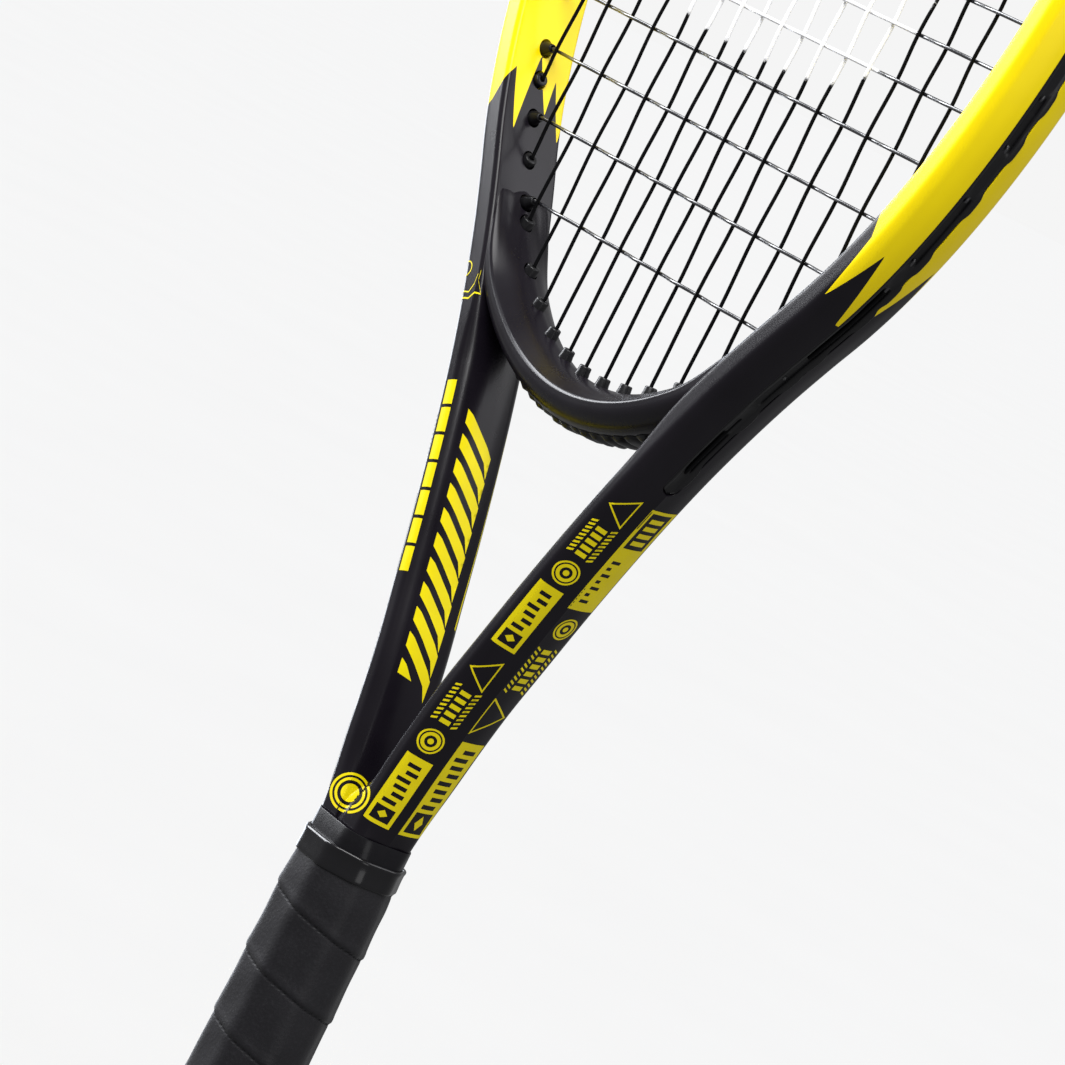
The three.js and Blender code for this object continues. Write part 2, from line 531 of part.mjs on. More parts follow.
// ------------------------------------------------------------------- handle
// octagon with half width a (X), half depth b (Y) and corner cut c
const octagon = (a, b, c) => [
  [a, -(b - c)], [a, b - c], [a - c, b], [-(a - c), b], [-a, b - c], [-a, -(b - c)], [-(a - c), -b], [a - c, -b],
];
const octRing = (a, b, c, z) => octagon(a, b, c).map(([x, y]) => V3(x, y, z));
const octLoft = (rows) => solid(loft(rows.map(([z, a, b, c]) => octRing(a, b, c, z)), octagon(rows[0][1], rows[0][2], rows[0][3])));
const P = PALLET;

// staples that hold the butt cap, one on each wide side
const staple = (sy, grow = 0) => {
  const g = grow, y = sy * 14.7;
  const crown = box(9 + 2 * g, 0.7 + 2 * g, 0.8 + 2 * g, 0, y, 14);
  const leg = (x) => box(0.8 + 2 * g, 3.6 + 2 * g, 0.8 + 2 * g, x, sy * (14.7 - 1.45), 14);
  return crown.add(leg(-4.1)).add(leg(4.1));
};
const stapleClear = staple(1, GAP).add(staple(-1, GAP));
// slots open outward so that nothing stays trapped above a crown
const stapleSlots = stapleClear.add(box(9.6, 3, 1.4, 0, 16.3, 14)).add(box(9.6, 3, 1.4, 0, -16.3, 14));

const pallet = octLoft([[PALLET_Z[0], P.a, P.b, P.c], [PALLET_Z[1], P.a, P.b, P.c]])
  .subtract(octLoft([[PALLET_Z[0] - 2, 12.1 + GAP, 10.2 + GAP, 4.0 + GAP * 0.2], [PALLET_Z[1] + 2, 12.1 + GAP, 10.2 + GAP, 4.0 + GAP * 0.2]]))
  .subtract(stapleClear);
add("handle_pallet", geometryOf(pallet), FOAM);

const cap = octLoft([[0, 17.9, 16.4, 10.2], [1.2, 18.6, 17.1, 10.6], [5.6, 18.6, 17.1, 10.6], [7, 17.7, 16.2, 10.1], [7.05, 16.9, 15.4, 9.65], [20, 16.0, 14.5, 9.1]])
  .subtract(octLoft([[3.3, P.a + GAP, P.b + GAP, P.c + 0.15], [22, P.a + GAP, P.b + GAP, P.c + 0.15]]))
  .subtract(rod(V3(0, 0, -1), V3(0, 0, 1.6), 11.4, 32))
  .subtract(stapleSlots);
add("butt_cap", geometryOf(largest(cap)), CAP);
add("butt_badge", geometryOf(rod(V3(0, 0, 0.25), V3(0, 0, 1.3), 11, 32)), YELLOW);
add("butt_staple_front", geometryOf(staple(-1)), STEEL);
add("butt_staple_back", geometryOf(staple(1)), STEEL);

// grip wrap: one strip wound up the handle, edge to edge
{
  const zMin = 7.4, zMax = GRIP_TOP_Z;
  const inner = (z) => { // how far the inner side of the strip stands outside the pallet octagon
    if (z < 20) return THREE.MathUtils.lerp(2.45, 1.55, (z - 7.4) / 12.6);
    if (z < 30) return THREE.MathUtils.lerp(1.55, GAP, (z - 20) / 10);
    if (z > 177) return THREE.MathUtils.lerp(GAP, -0.5, Math.min((z - 177) / 10, 1));
    return GAP;
  };
  const thick = (z) => (z > 165 ? THREE.MathUtils.lerp(WRAP_T, 0.9, Math.min((z - 165) / 14, 1)) : WRAP_T);
  const corner = (k, off, z) => {
    const cc = P.c + off * 0.59; // equal offset on all eight faces
    const [x, y] = octagon(P.a + off, P.b + off, cc)[((k % 8) + 8) % 8];
    return V3(-x, y, z); // the strip climbs clockwise, seen from the head
  };
  const per = [0];
  for (let k = 0; k < 8; k++) {
    const p = corner(k, 1, 0), q = corner(k + 1, 1, 0);
    per.push(per[k] + p.distanceTo(q));
  }
  const width = WRAP_PITCH - 0.35, rings = [];
  for (let k = 0; k < 8 * 11; k++) {
    const turn = Math.floor(k / 8) + per[k % 8] / per[8];
    const c = zMin + WRAP_PHASE - WRAP_PITCH * 0.5 + turn * WRAP_PITCH;
    const lo = THREE.MathUtils.clamp(c - width / 2, zMin, zMax), hi = THREE.MathUtils.clamp(c + width / 2, zMin, zMax);
    if (hi - lo < 1.5) continue;
    const mid = (lo + hi) / 2, ring = [];
    for (const z of [lo, mid, hi]) ring.push(corner(k, inner(z), z));
    for (const z of [hi, mid, lo]) ring.push(corner(k, inner(z) + thick(z), z));
    rings.push(ring);
  }
  const flat = [[0, 0], [0, 1], [0, 2], [1, 2], [1, 1], [1, 0]];
  add("grip_wrap", loft(rings, flat), GRIP);
}

// finishing tape and the rubber collar over the top of the wrap
{
  const tape = octLoft([[TAPE_Z[0], 16.35, 14.85, 8.9], [183, 16.1, 14.6, 8.8], [187, 15.8, 14.3, 8.4], [190, 15.35, 13.4, 6.8], [TAPE_Z[1], 15.15, 12.4, 4.8]])
    .subtract(octLoft([[TAPE_Z[0] - 0.01, 16.05, 14.55, 8.75], [183, 15.8, 14.3, 8.65], [187, 15.5, 14.0, 8.25], [190, 15.05, 13.1, 6.65], [TAPE_Z[1] + 0.01, 14.85, 12.1, 4.65]]));
  add("finishing_tape", geometryOf(largest(tape)), TAPE);
  const collar = octLoft([[COLLAR_Z[0], 16.5, 15.0, 8.8], [COLLAR_Z[0] + 0.8, 16.95, 15.45, 9.0], [COLLAR_Z[1] - 2, 16.85, 15.2, 8.6], [COLLAR_Z[1], 16.2, 14.3, 7.4]])
    .subtract(octLoft([[COLLAR_Z[0] - 0.01, 16.15, 14.65, 8.65], [187.2, 16.1, 14.6, 8.5], [190, 15.7, 13.8, 7.0], [COLLAR_Z[1] + 0.01, 15.6, 13.4, 6.2]]));
  add("rubber_collar", geometryOf(largest(collar)), RUBBER);
}

export default group;
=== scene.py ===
"""The looks of a strung tennis racket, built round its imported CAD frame.

Every piece is made in millimetres in the part's own frame (+Z from butt to tip, -Y out of the front face) and written
to its mesh in metres."""

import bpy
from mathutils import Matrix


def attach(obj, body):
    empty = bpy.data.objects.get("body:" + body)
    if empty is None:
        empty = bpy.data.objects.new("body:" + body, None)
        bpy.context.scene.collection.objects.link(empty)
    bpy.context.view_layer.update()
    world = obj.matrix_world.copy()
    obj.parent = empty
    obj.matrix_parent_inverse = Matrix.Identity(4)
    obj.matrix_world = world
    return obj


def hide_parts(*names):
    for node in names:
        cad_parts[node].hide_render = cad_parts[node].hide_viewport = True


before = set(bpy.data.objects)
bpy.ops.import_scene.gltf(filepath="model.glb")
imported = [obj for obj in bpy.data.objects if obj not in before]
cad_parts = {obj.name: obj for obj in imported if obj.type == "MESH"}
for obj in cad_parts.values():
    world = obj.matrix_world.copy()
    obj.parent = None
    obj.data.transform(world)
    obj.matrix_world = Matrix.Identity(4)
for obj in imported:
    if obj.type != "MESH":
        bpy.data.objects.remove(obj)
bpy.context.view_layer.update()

import bpy
import bmesh
from mathutils import Matrix, Vector
from mathutils.geometry import delaunay_2d_cdt
from mathutils.kdtree import KDTree
import math
import numpy as np

# ------------------------------------------------------------ dimensions, mm
LENGTH = 685.8
W_PLANE = 12.4
HEAD_A = 123.5
HEAD_BOT = 344.5
HEAD_ZW = 536.0
HEAD_TOP = LENGTH - 1.5 - W_PLANE
HEAD_N = 2.12
HW = W_PLANE / 2
GROOVE_Z = 331.0
GUARD_Z = 601.0
GW, GD = 2.75, 2.9        # half width and depth of the string groove
MAIN_X = [5.58, 16.5, 27.7, 39.9, 52.75, 66.1, 79.86, 93.84]
CROSS_Z = [381.5, 404.3, 424.2, 443.5, 461.3, 475.5, 490.1, 503.9, 517.1, 530.1, 543.0,
           555.8, 568.5, 581.1, 593.5, 605.6, 617.6, 631.0, 645.5]


def smooth(x, a, b):
    t = np.clip((np.asarray(x, float) - a) / (b - a), 0, 1)
    return t * t * (3 - 2 * t)


def hoop_inner(t):
    c, s = math.cos(t), math.sin(t)
    if s <= 0:
        return HEAD_A * c, HEAD_ZW + (HEAD_ZW - HEAD_BOT) * s
    e = 2 / HEAD_N
    return HEAD_A * max(c, 0) ** e, HEAD_ZW + (HEAD_TOP - HEAD_ZW) * s ** e


def hoop_normal(t):
    x, z = hoop_inner(t)
    up = z > HEAD_ZW
    b = HEAD_TOP - HEAD_ZW if up else HEAD_ZW - HEAD_BOT
    n = HEAD_N if up else 2
    gx = (max(x, 0) / HEAD_A) ** (n - 1) / HEAD_A
    gz = math.copysign((abs(z - HEAD_ZW) / b) ** (n - 1), z - HEAD_ZW) / b
    l = math.hypot(gx, gz)
    return gx / l, gz / l


LEGS = [(5.9, 5), (5.9, 60), (5.9, 130), (5.9, 172), (6.3, 186), (8.0, 199), (11.0, 213), (14.6, 229),
        (19.8, 248), (25.8, 265), (32.6, 284), (40.0, 303), (47.6, 321), (55.4, 337.5), (64.6, 354.5),
        (73.8, 369.8), (82.9, 383.4)]


def catmull(points, per):
    p = [np.array(q, float) for q in points]
    p = [2 * p[0] - p[1]] + p + [2 * p[-1] - p[-2]]
    out = []
    for i in range(1, len(p) - 2):
        p0, p1, p2, p3 = p[i - 1], p[i], p[i + 1], p[i + 2]
        d0, d1, d2 = (max(float(np.linalg.norm(b - a)), 1e-6) ** 0.5 for a, b in ((p0, p1), (p1, p2), (p2, p3)))
        t1 = ((p1 - p0) / d0 - (p2 - p0) / (d0 + d1) + (p2 - p1) / d1) * d1
        t2 = ((p2 - p1) / d1 - (p3 - p1) / (d1 + d2) + (p3 - p2) / d2) * d1
        for k in range(per):
            t = k / per
            out.append(p1 + t1 * t + (-3 * p1 + 3 * p2 - 2 * t1 - t2) * t * t + (2 * p1 - 2 * p2 + t1 + t2) * t ** 3)
    out.append(p[-2])
    return np.array(out)


def resample(line, step):
    seg = np.linalg.norm(np.diff(line, axis=0), axis=1)
    s = np.concatenate([[0], np.cumsum(seg)])
    n = max(2, int(round(s[-1] / step)) + 1)
    q = np.linspace(0, s[-1], n)
    return np.stack([np.interp(q, s, line[:, k]) for k in range(line.shape[1])], 1), q


_hp = []
_d = -46.0
while _d < 89.9:
    _t = math.radians(_d)
    _x, _z = hoop_inner(_t)
    _nx, _nz = hoop_normal(_t)
    _hp.append((_x + _nx * HW, _z + _nz * HW))
    _d += 4
_fine = catmull(LEGS + _hp + [(0, HEAD_TOP + HW)], 24)
PATH, PS = resample(_fine, 0.5)      # right half of the tube's centre line, butt to tip
_tan = np.gradient(PATH, axis=0)
for _ in range(6):
    _tan[1:-1] = (_tan[:-2] + 2 * _tan[1:-1] + _tan[2:]) / 4
_tan[-1] = (-1, 0)
_tan[0] = (0, 1)
_tan /= np.linalg.norm(_tan, axis=1)[:, None]
PN = np.stack([_tan[:, 1], -_tan[:, 0]], 1)   # outward normal
S_END = float(PS[-1])


def s_at_z(z):
    return float(np.interp(z, PATH[:, 1], PS)) if z < 660 else S_END


def on_path(s):
    return (np.array([np.interp(s, PS, PATH[:, 0]), np.interp(s, PS, PATH[:, 1])]),
            np.array([np.interp(s, PS, PN[:, 0]), np.interp(s, PS, PN[:, 1])]))


S_GROOVE = s_at_z(GROOVE_Z)

# corners of the tube's section, outside to inside over the front half: (outward, depth, rounding)
SEC_HANDLE = [(5.9, 0.0, 1.0), (5.9, 4.0, 1.5), (5.5, 8.0, 1.5), (3.2, 10.2, 1.5), (-2.0, 10.2, 1.0), (-5.9, 10.2, 0.25), (-5.9, 6.0, 1.0), (-5.9, 0.0, 1.0)]
SEC_ARM = [(6.6, 0.0, 2.0), (5.35, 6.0, 2.5), (3.5, 10.5, 1.5), (1.6, 12.0, 1.1), (-2.3, 12.0, 1.2), (-5.2, 9.5, 1.4), (-6.25, 4.8, 3.0), (-6.25, 0.0, 2.0)]
CORNER = 5
EDGE = 3


def round_poly(pts, rad):
    """closed polygon with each corner cut by a short curve; same count of points every time"""
    n = len(pts)
    p = np.asarray(pts, float)
    out = []
    L = [float(np.linalg.norm(p[(i + 1) % n] - p[i])) for i in range(n)]
    cut = []
    for i in range(n):
        cut.append(min(rad[i], 0.48 * L[i - 1], 0.48 * L[i]))
    for i in range(n):
        a, b, c = p[i - 1], p[i], p[(i + 1) % n]
        pa = b + (a - b) * (cut[i] / max(L[i - 1], 1e-9))
        pc = b + (c - b) * (cut[i] / max(L[i], 1e-9))
        for k in range(CORNER):
            t = k / (CORNER - 1)
            out.append((1 - t) ** 2 * pa + 2 * t * (1 - t) * b + t * t * pc)
        nx = p[(i + 1) % n]
        pn = nx + (b - nx) * (cut[(i + 1) % n] / max(L[i], 1e-9))
        for k in range(1, EDGE + 1):
            out.append(pc + (pn - pc) * (k / (EDGE + 1)))
    return np.array(out)


def section(s):
    """outline of the tube at arc length s, (outward, y), starting at the middle of the outer side and going to the front"""
    (x, z), _ = on_path(s)
    k = float(smooth(z, 180, 226))
    ki = float(smooth(z, 196, 217))
    ko = float(smooth(z, 186, 214))
    c = []
    for i, (h, a) in enumerate(zip(SEC_HANDLE, SEC_ARM)):
        q = ki if i >= 5 else ko
        u = h[0] + (a[0] - h[0]) * q
        v = h[1] + (a[1] - h[1]) * (ki if i >= 5 else k)
        if i == 5:
            v = v + (1 - ki) * (10.2 + 1.8 * k - 10.2)
        c.append((u, v, h[2] + (a[2] - h[2]) * q))
    kh = float(smooth(s, S_GROOVE - 2.0, S_GROOVE + 26.0))
    for i, b in ((4, (-4.5, 12.0, 0.5)), (5, (-5.9, 11.1, 0.6)), (6, (-6.25, 4.8, 3.0))):
        c[i] = tuple(m + (q - m) * kh for m, q in zip(c[i], b))
    # groove
    t = (s - S_GROOVE) / GW
    g = 0.0 if t <= 0 else (1.0 if t >= 1 else math.sqrt(max(0.0, 1 - (1 - t) ** 2)))
    d = GD * (1.0 if t > 0.06 else max(0.0, t) / 0.06)
    gw = max(0.35, GW * g)
    u0, (u1, v1) = c[0][0], c[1][:2]
    ue = u0 + (u1 - u0) * gw / v1
    half = [(ue - d if d > 0 else u0 + (u1 - u0) * (gw - 0.2) / v1, gw - 0.12, 0.25 if d > 1 else 0.02), (ue, gw, 0.22)] + c[1:7]
    pts = [(u0 - d if d > 0 else u0, 0.0)] + [(u, -v) for u, v, _ in half] + [(c[7][0], 0.0)] + [(u, v) for u, v, _ in reversed(half)]
    rad = [0.3] + [r for _, _, r in half] + [c[7][2]] + [r for _, _, r in reversed(half)]
    o = round_poly(pts, rad)
    return np.roll(o, -2, axis=0)       # start at the middle of the first corner


_cache = {}


def outline(s):
    """outline at s with the distance round it from the outer middle, front side negative"""
    key = round(float(s), 2)
    if key not in _cache:
        o = section(key)
        d = np.concatenate([[0], np.cumsum(np.linalg.norm(np.diff(o, axis=0), axis=1))])
        _cache[key] = (o, d, d[-1] + float(np.linalg.norm(o[0] - o[-1])))
    return _cache[key]


def surf(side, s, w, lift=0.0):
    """point on the tube at arc length s and w mm round the section (0 outer middle, negative front), in mm"""
    s = float(s)
    s0 = math.floor(s * 2) / 2
    f = (s - s0) * 2
    res = 0
    for q, wt in ((s0, 1 - f), (s0 + 0.5, f)):
        if wt <= 0:
            continue
        q = min(max(q, 0.0), S_END)
        o, d, per = outline(q)
        x = (-w) % per
        oo = np.vstack([o, o[:1]])
        dd = np.append(d, per)
        u = np.interp(x, dd, oo[:, 0])
        v = np.interp(x, dd, oo[:, 1])
        h = 0.35
        ua, va = np.interp((x - h) % per, dd, oo[:, 0]), np.interp((x - h) % per, dd, oo[:, 1])
        ub, vb = np.interp((x + h) % per, dd, oo[:, 0]), np.interp((x + h) % per, dd, oo[:, 1])
        tx, ty = ub - ua, vb - va
        l = math.hypot(tx, ty) + 1e-9
        u, v = u - lift * ty / l, v + lift * tx / l
        c, nrm = on_path(q)
        res = res + wt * np.array([side * (c[0] + nrm[0] * u), v, c[1] + nrm[1] * u])
    return res


# ------------------------------------------------------------ mesh helpers
SCENE = bpy.context.scene
COLL = SCENE.collection


def unit(v):
    v = np.asarray(v, float)
    return v / (np.linalg.norm(v) + 1e-12)


def make(name, verts, faces, sharp=35.0, mats=(), face_mat=None, turn=True):
    """a named object from millimetre points"""
    me = bpy.data.meshes.new(name)
    me.from_pydata([tuple(float(c) * 0.001 for c in v) for v in verts], [], [tuple(int(i) for i in f) for f in faces])
    me.validate()
    if turn:
        bm = bmesh.new()
        bm.from_mesh(me)
        bmesh.ops.recalc_face_normals(bm, faces=bm.faces)
        bm.to_mesh(me)
        bm.free()
    for m in mats:
        me.materials.append(m)
    if face_mat is not None:
        me.polygons.foreach_set("material_index", np.asarray(face_mat, np.int32))
    me.shade_smooth()
    if sharp:
        me.set_sharp_from_angle(angle=math.radians(sharp))
    ob = bpy.data.objects.new(name, me)
    COLL.objects.link(ob)
    return ob


def grid_faces(rows, cols, close_cols=True, close_rows=False, base=0):
    f = []
    for i in range(rows if close_rows else rows - 1):
        a, b = base + i * cols, base + ((i + 1) % rows) * cols
        for j in range(cols if close_cols else cols - 1):
            k = (j + 1) % cols
            f.append((a + j, a + k, b + k, b + j))
    return f


def tube(path, radius, sides=10, cap=True, up=(0, 1, 0), base=0):
    """round tube along a polyline, with turning kept steady; returns verts, faces"""
    P = np.asarray(path, float)
    T = np.gradient(P, axis=0)
    T /= np.linalg.norm(T, axis=1)[:, None] + 1e-12
    n = unit(np.cross(T[0], up) if abs(np.dot(T[0], up)) < 0.95 else np.cross(T[0], (1, 0, 0)))
    V = []
    r = np.broadcast_to(np.asarray(radius, float), (len(P),))
    for i in range(len(P)):
        n = unit(n - T[i] * np.dot(n, T[i]))
        b = np.cross(T[i], n)
        for k in range(sides):
            a = 2 * math.pi * k / sides
            V.append(P[i] + r[i] * (math.cos(a) * n + math.sin(a) * b))
    F = grid_faces(len(P), sides, base=base)
    if cap:
        F.append(tuple(base + k for k in range(sides)))
        F.append(tuple(base + (len(P) - 1) * sides + k for k in reversed(range(sides))))
    return V, F


def lathe(profile, origin, axis, sides=20, base=0):
    """(along, radius) profile turned about an axis; a closed profile makes a ring"""
    a = unit(axis)
    n = unit(np.cross(a, (0, 1, 0)) if abs(a[1]) < 0.9 else np.cross(a, (1, 0, 0)))
    b = np.cross(a, n)
    V = []
    for h, r in profile:
        for k in range(sides):
            t = 2 * math.pi * k / sides
            V.append(np.asarray(origin) + a * h + r * (math.cos(t) * n + math.sin(t) * b))
    return V, grid_faces(len(profile), sides, close_rows=True, base=base)


def applied(ob):
    """bakes an object's modifiers into its mesh"""
    dg = bpy.context.evaluated_depsgraph_get()
    me = bpy.data.meshes.new_from_object(ob.evaluated_get(dg))
    old = ob.data
    ob.modifiers.clear()
    ob.data = me
    bpy.data.meshes.remove(old)
    return ob


def boolean(ob, other, op):
    m = ob.modifiers.new("b", "BOOLEAN")
    m.operation = op
    m.object = other
    try:
        m.solver = "MANIFOLD"
    except TypeError:
        m.solver = "EXACT"
    before = len(ob.data.vertices)
    applied(ob)
    bpy.data.objects.remove(other)
    return len(ob.data.vertices) != before and len(ob.data.vertices) > 0


# ------------------------------------------------------------ materials
def material(name):
    m = bpy.data.materials.new(name)
    m.use_nodes = True
    nt = m.node_tree
    nt.nodes.clear()
    out = nt.nodes.new("ShaderNodeOutputMaterial")
    bs = nt.nodes.new("ShaderNodeBsdfPrincipled")
    nt.links.new(bs.outputs[0], out.inputs[0])
    return m, nt, bs


def node(nt, kind, **kw):
    n = nt.nodes.new(kind)
    for k, v in kw.items():
        if k in n.inputs:
            n.inputs[k].default_value = v
        else:
            setattr(n, k, v)
    return n


def coords(nt, scale=1000.0, stretch=(1, 1, 1)):
    tc = nt.nodes.new("ShaderNodeTexCoord")
    mp = nt.nodes.new("ShaderNodeMapping")
    mp.inputs["Scale"].default_value = tuple(scale * s for s in stretch)
    nt.links.new(tc.outputs["Object"], mp.inputs["Vector"])
    return mp.outputs[0]


def noise(nt, vec, scale, detail=3.0, rough=0.55):
    n = nt.nodes.new("ShaderNodeTexNoise")
    n.inputs["Scale"].default_value = scale
    n.inputs["Detail"].default_value = detail
    n.inputs["Roughness"].default_value = rough
    nt.links.new(vec, n.inputs["Vector"])
    return n.outputs[0]


def remap(nt, val, a, b, c, d, smooth_=False):
    n = nt.nodes.new("ShaderNodeMapRange")
    n.inputs["From Min"].default_value = a
    n.inputs["From Max"].default_value = b
    n.inputs["To Min"].default_value = c
    n.inputs["To Max"].default_value = d
    if smooth_:
        n.interpolation_type = "SMOOTHSTEP"
    nt.links.new(val, n.inputs["Value"])
    return n.outputs[0]


def math_(nt, op, a, b=None, clamp=False):
    n = nt.nodes.new("ShaderNodeMath")
    n.operation = op
    n.use_clamp = clamp
    for i, v in enumerate((a, b)):
        if v is None:
            continue
        if isinstance(v, (int, float)):
            n.inputs[i].default_value = v
        else:
            nt.links.new(v, n.inputs[i])
    return n.outputs[0]


def mix_rgb(nt, fac, a, b):
    n = nt.nodes.new("ShaderNodeMix")
    n.data_type = "RGBA"
    if isinstance(fac, (int, float)):
        n.inputs[0].default_value = fac
    else:
        nt.links.new(fac, n.inputs[0])
    for sock, v in ((n.inputs[6], a), (n.inputs[7], b)):
        if isinstance(v, tuple):
            sock.default_value = v if len(v) == 4 else (*v, 1)
        else:
            nt.links.new(v, sock)
    return n.outputs[2]


def bump(nt, height, distance, strength=1.0, normal=None):
    n = nt.nodes.new("ShaderNodeBump")
    n.inputs["Strength"].default_value = strength
    n.inputs["Distance"].default_value = distance
    nt.links.new(height, n.inputs["Height"])
    if normal is not None:
        nt.links.new(normal, n.inputs["Normal"])
    return n.outputs[0]


BLACK = (0.0050, 0.0038, 0.0064)
BLACK2 = (0.0078, 0.0062, 0.0096)
YELLOW = (0.96, 0.745, 0.0006)
YELLOW2 = (0.91, 0.695, 0.0006)


def paint(name, two_tone):
    """satin lacquer: black, or black below a jagged edge and yellow above it"""
    m, nt, bs = material(name)
    vec = coords(nt)
    cloud = noise(nt, vec, 0.03, 3)
    fleck = noise(nt, vec, 3.2, 2, 0.7)
    black = mix_rgb(nt, remap(nt, cloud, 0.35, 0.65, 0, 1), BLACK, BLACK2)
    black = mix_rgb(nt, remap(nt, fleck, 0.62, 0.75, 0, 0.35), black, (0.018, 0.018, 0.022))
    rough = remap(nt, cloud, 0.3, 0.7, 0.25, 0.32)
    colour = black
    if two_tone:
        yellow = mix_rgb(nt, remap(nt, cloud, 0.35, 0.65, 0, 1), YELLOW, YELLOW2)
        yellow = mix_rgb(nt, remap(nt, fleck, 0.60, 0.78, 0, 0.25), yellow, (1.0, 0.82, 0.02))
        ps = node(nt, "ShaderNodeAttribute", attribute_name="ps").outputs["Fac"]
        pp = node(nt, "ShaderNodeAttribute", attribute_name="pp").outputs["Fac"]
        ramp = nt.nodes.new("ShaderNodeValToRGB")
        ramp.color_ramp.interpolation = "LINEAR"
        el = ramp.color_ramp.elements
        while len(el) > 1:
            el.remove(el[-1])
        stops = ZIGZAG
        for i, (p, b) in enumerate(stops):
            e = el[0] if i == 0 else el.new(p)
            e.position = p
            g = (b - 400.0) / 50.0
            e.color = (g, g, g, 1)
        nt.links.new(pp, ramp.inputs[0])
        edge = math_(nt, "ADD", math_(nt, "MULTIPLY", ramp.outputs[0], 50.0), 400.0)
        over = math_(nt, "SUBTRACT", ps, edge)
        mask = remap(nt, over, -0.12, 0.12, 0, 1)
        colour = mix_rgb(nt, mask, black, yellow)
        rough = math_(nt, "ADD", rough, math_(nt, "MULTIPLY", mask, 0.02))
    nt.links.new(colour, bs.inputs["Base Color"])
    nt.links.new(rough, bs.inputs["Roughness"])
    bs.inputs["Coat Weight"].default_value = 0.04
    bs.inputs["Coat Roughness"].default_value = 0.10
    bs.inputs["Specular IOR Level"].default_value = 0.22
    peel = noise(nt, vec, 0.55, 2)
    nt.links.new(bump(nt, peel, 0.000006, 0.4), bs.inputs["Normal"])
    return m


def print_ink(name, base, alt, rough=0.36):
    m, nt, bs = material(name)
    vec = coords(nt)
    n1 = noise(nt, vec, 0.09, 3)
    n2 = noise(nt, vec, 2.6, 3, 0.7)
    c = mix_rgb(nt, remap(nt, n1, 0.3, 0.7, 0, 1), base, alt)
    c = mix_rgb(nt, remap(nt, n2, 0.66, 0.8, 0, 0.22), c, tuple(v * 0.55 for v in base))
    nt.links.new(c, bs.inputs["Base Color"])
    nt.links.new(remap(nt, n2, 0.3, 0.7, rough - 0.04, rough + 0.06), bs.inputs["Roughness"])
    bs.inputs["Coat Weight"].default_value = 0.03
    bs.inputs["Coat Roughness"].default_value = 0.18
    bs.inputs["Specular IOR Level"].default_value = 0.24
    nt.links.new(bump(nt, n2, 0.000006, 0.5), bs.inputs["Normal"])
    return m


def plastic(name, base, alt, rough, grain, grain_scale, scuff=0.0, coat=0.0, spec=0.3):
    """moulded plastic: fine texture, slow colour drift, and pale scuffs where it wears"""
    m, nt, bs = material(name)
    vec = coords(nt)
    n1 = noise(nt, vec, 0.05, 4)
    n2 = noise(nt, vec, grain_scale, 3, 0.65)
    c = mix_rgb(nt, remap(nt, n1, 0.3, 0.7, 0, 1), base, alt)
    r = remap(nt, n2, 0.25, 0.75, rough - 0.06, rough + 0.08)
    if scuff:
        v2 = coords(nt, 1000.0, (1.0, 0.35, 1.0))
        s1 = noise(nt, v2, 0.35, 6, 0.75)
        edge = node(nt, "ShaderNodeNewGeometry").outputs["Pointiness"]
        w = math_(nt, "MULTIPLY", remap(nt, s1, 0.55, 0.72, 0, 1), remap(nt, edge, 0.50, 0.58, 0.25, 1.0), True)
        w = math_(nt, "MULTIPLY", w, scuff)
        c = mix_rgb(nt, w, c, (0.10, 0.10, 0.105))
        r = math_(nt, "ADD", r, math_(nt, "MULTIPLY", w, 0.2), True)
    nt.links.new(c, bs.inputs["Base Color"])
    nt.links.new(r, bs.inputs["Roughness"])
    bs.inputs["Specular IOR Level"].default_value = spec
    if coat:
        bs.inputs["Coat Weight"].default_value = coat
        bs.inputs["Coat Roughness"].default_value = 0.12
    nt.links.new(bump(nt, n2, grain, 0.7), bs.inputs["Normal"])
    return m


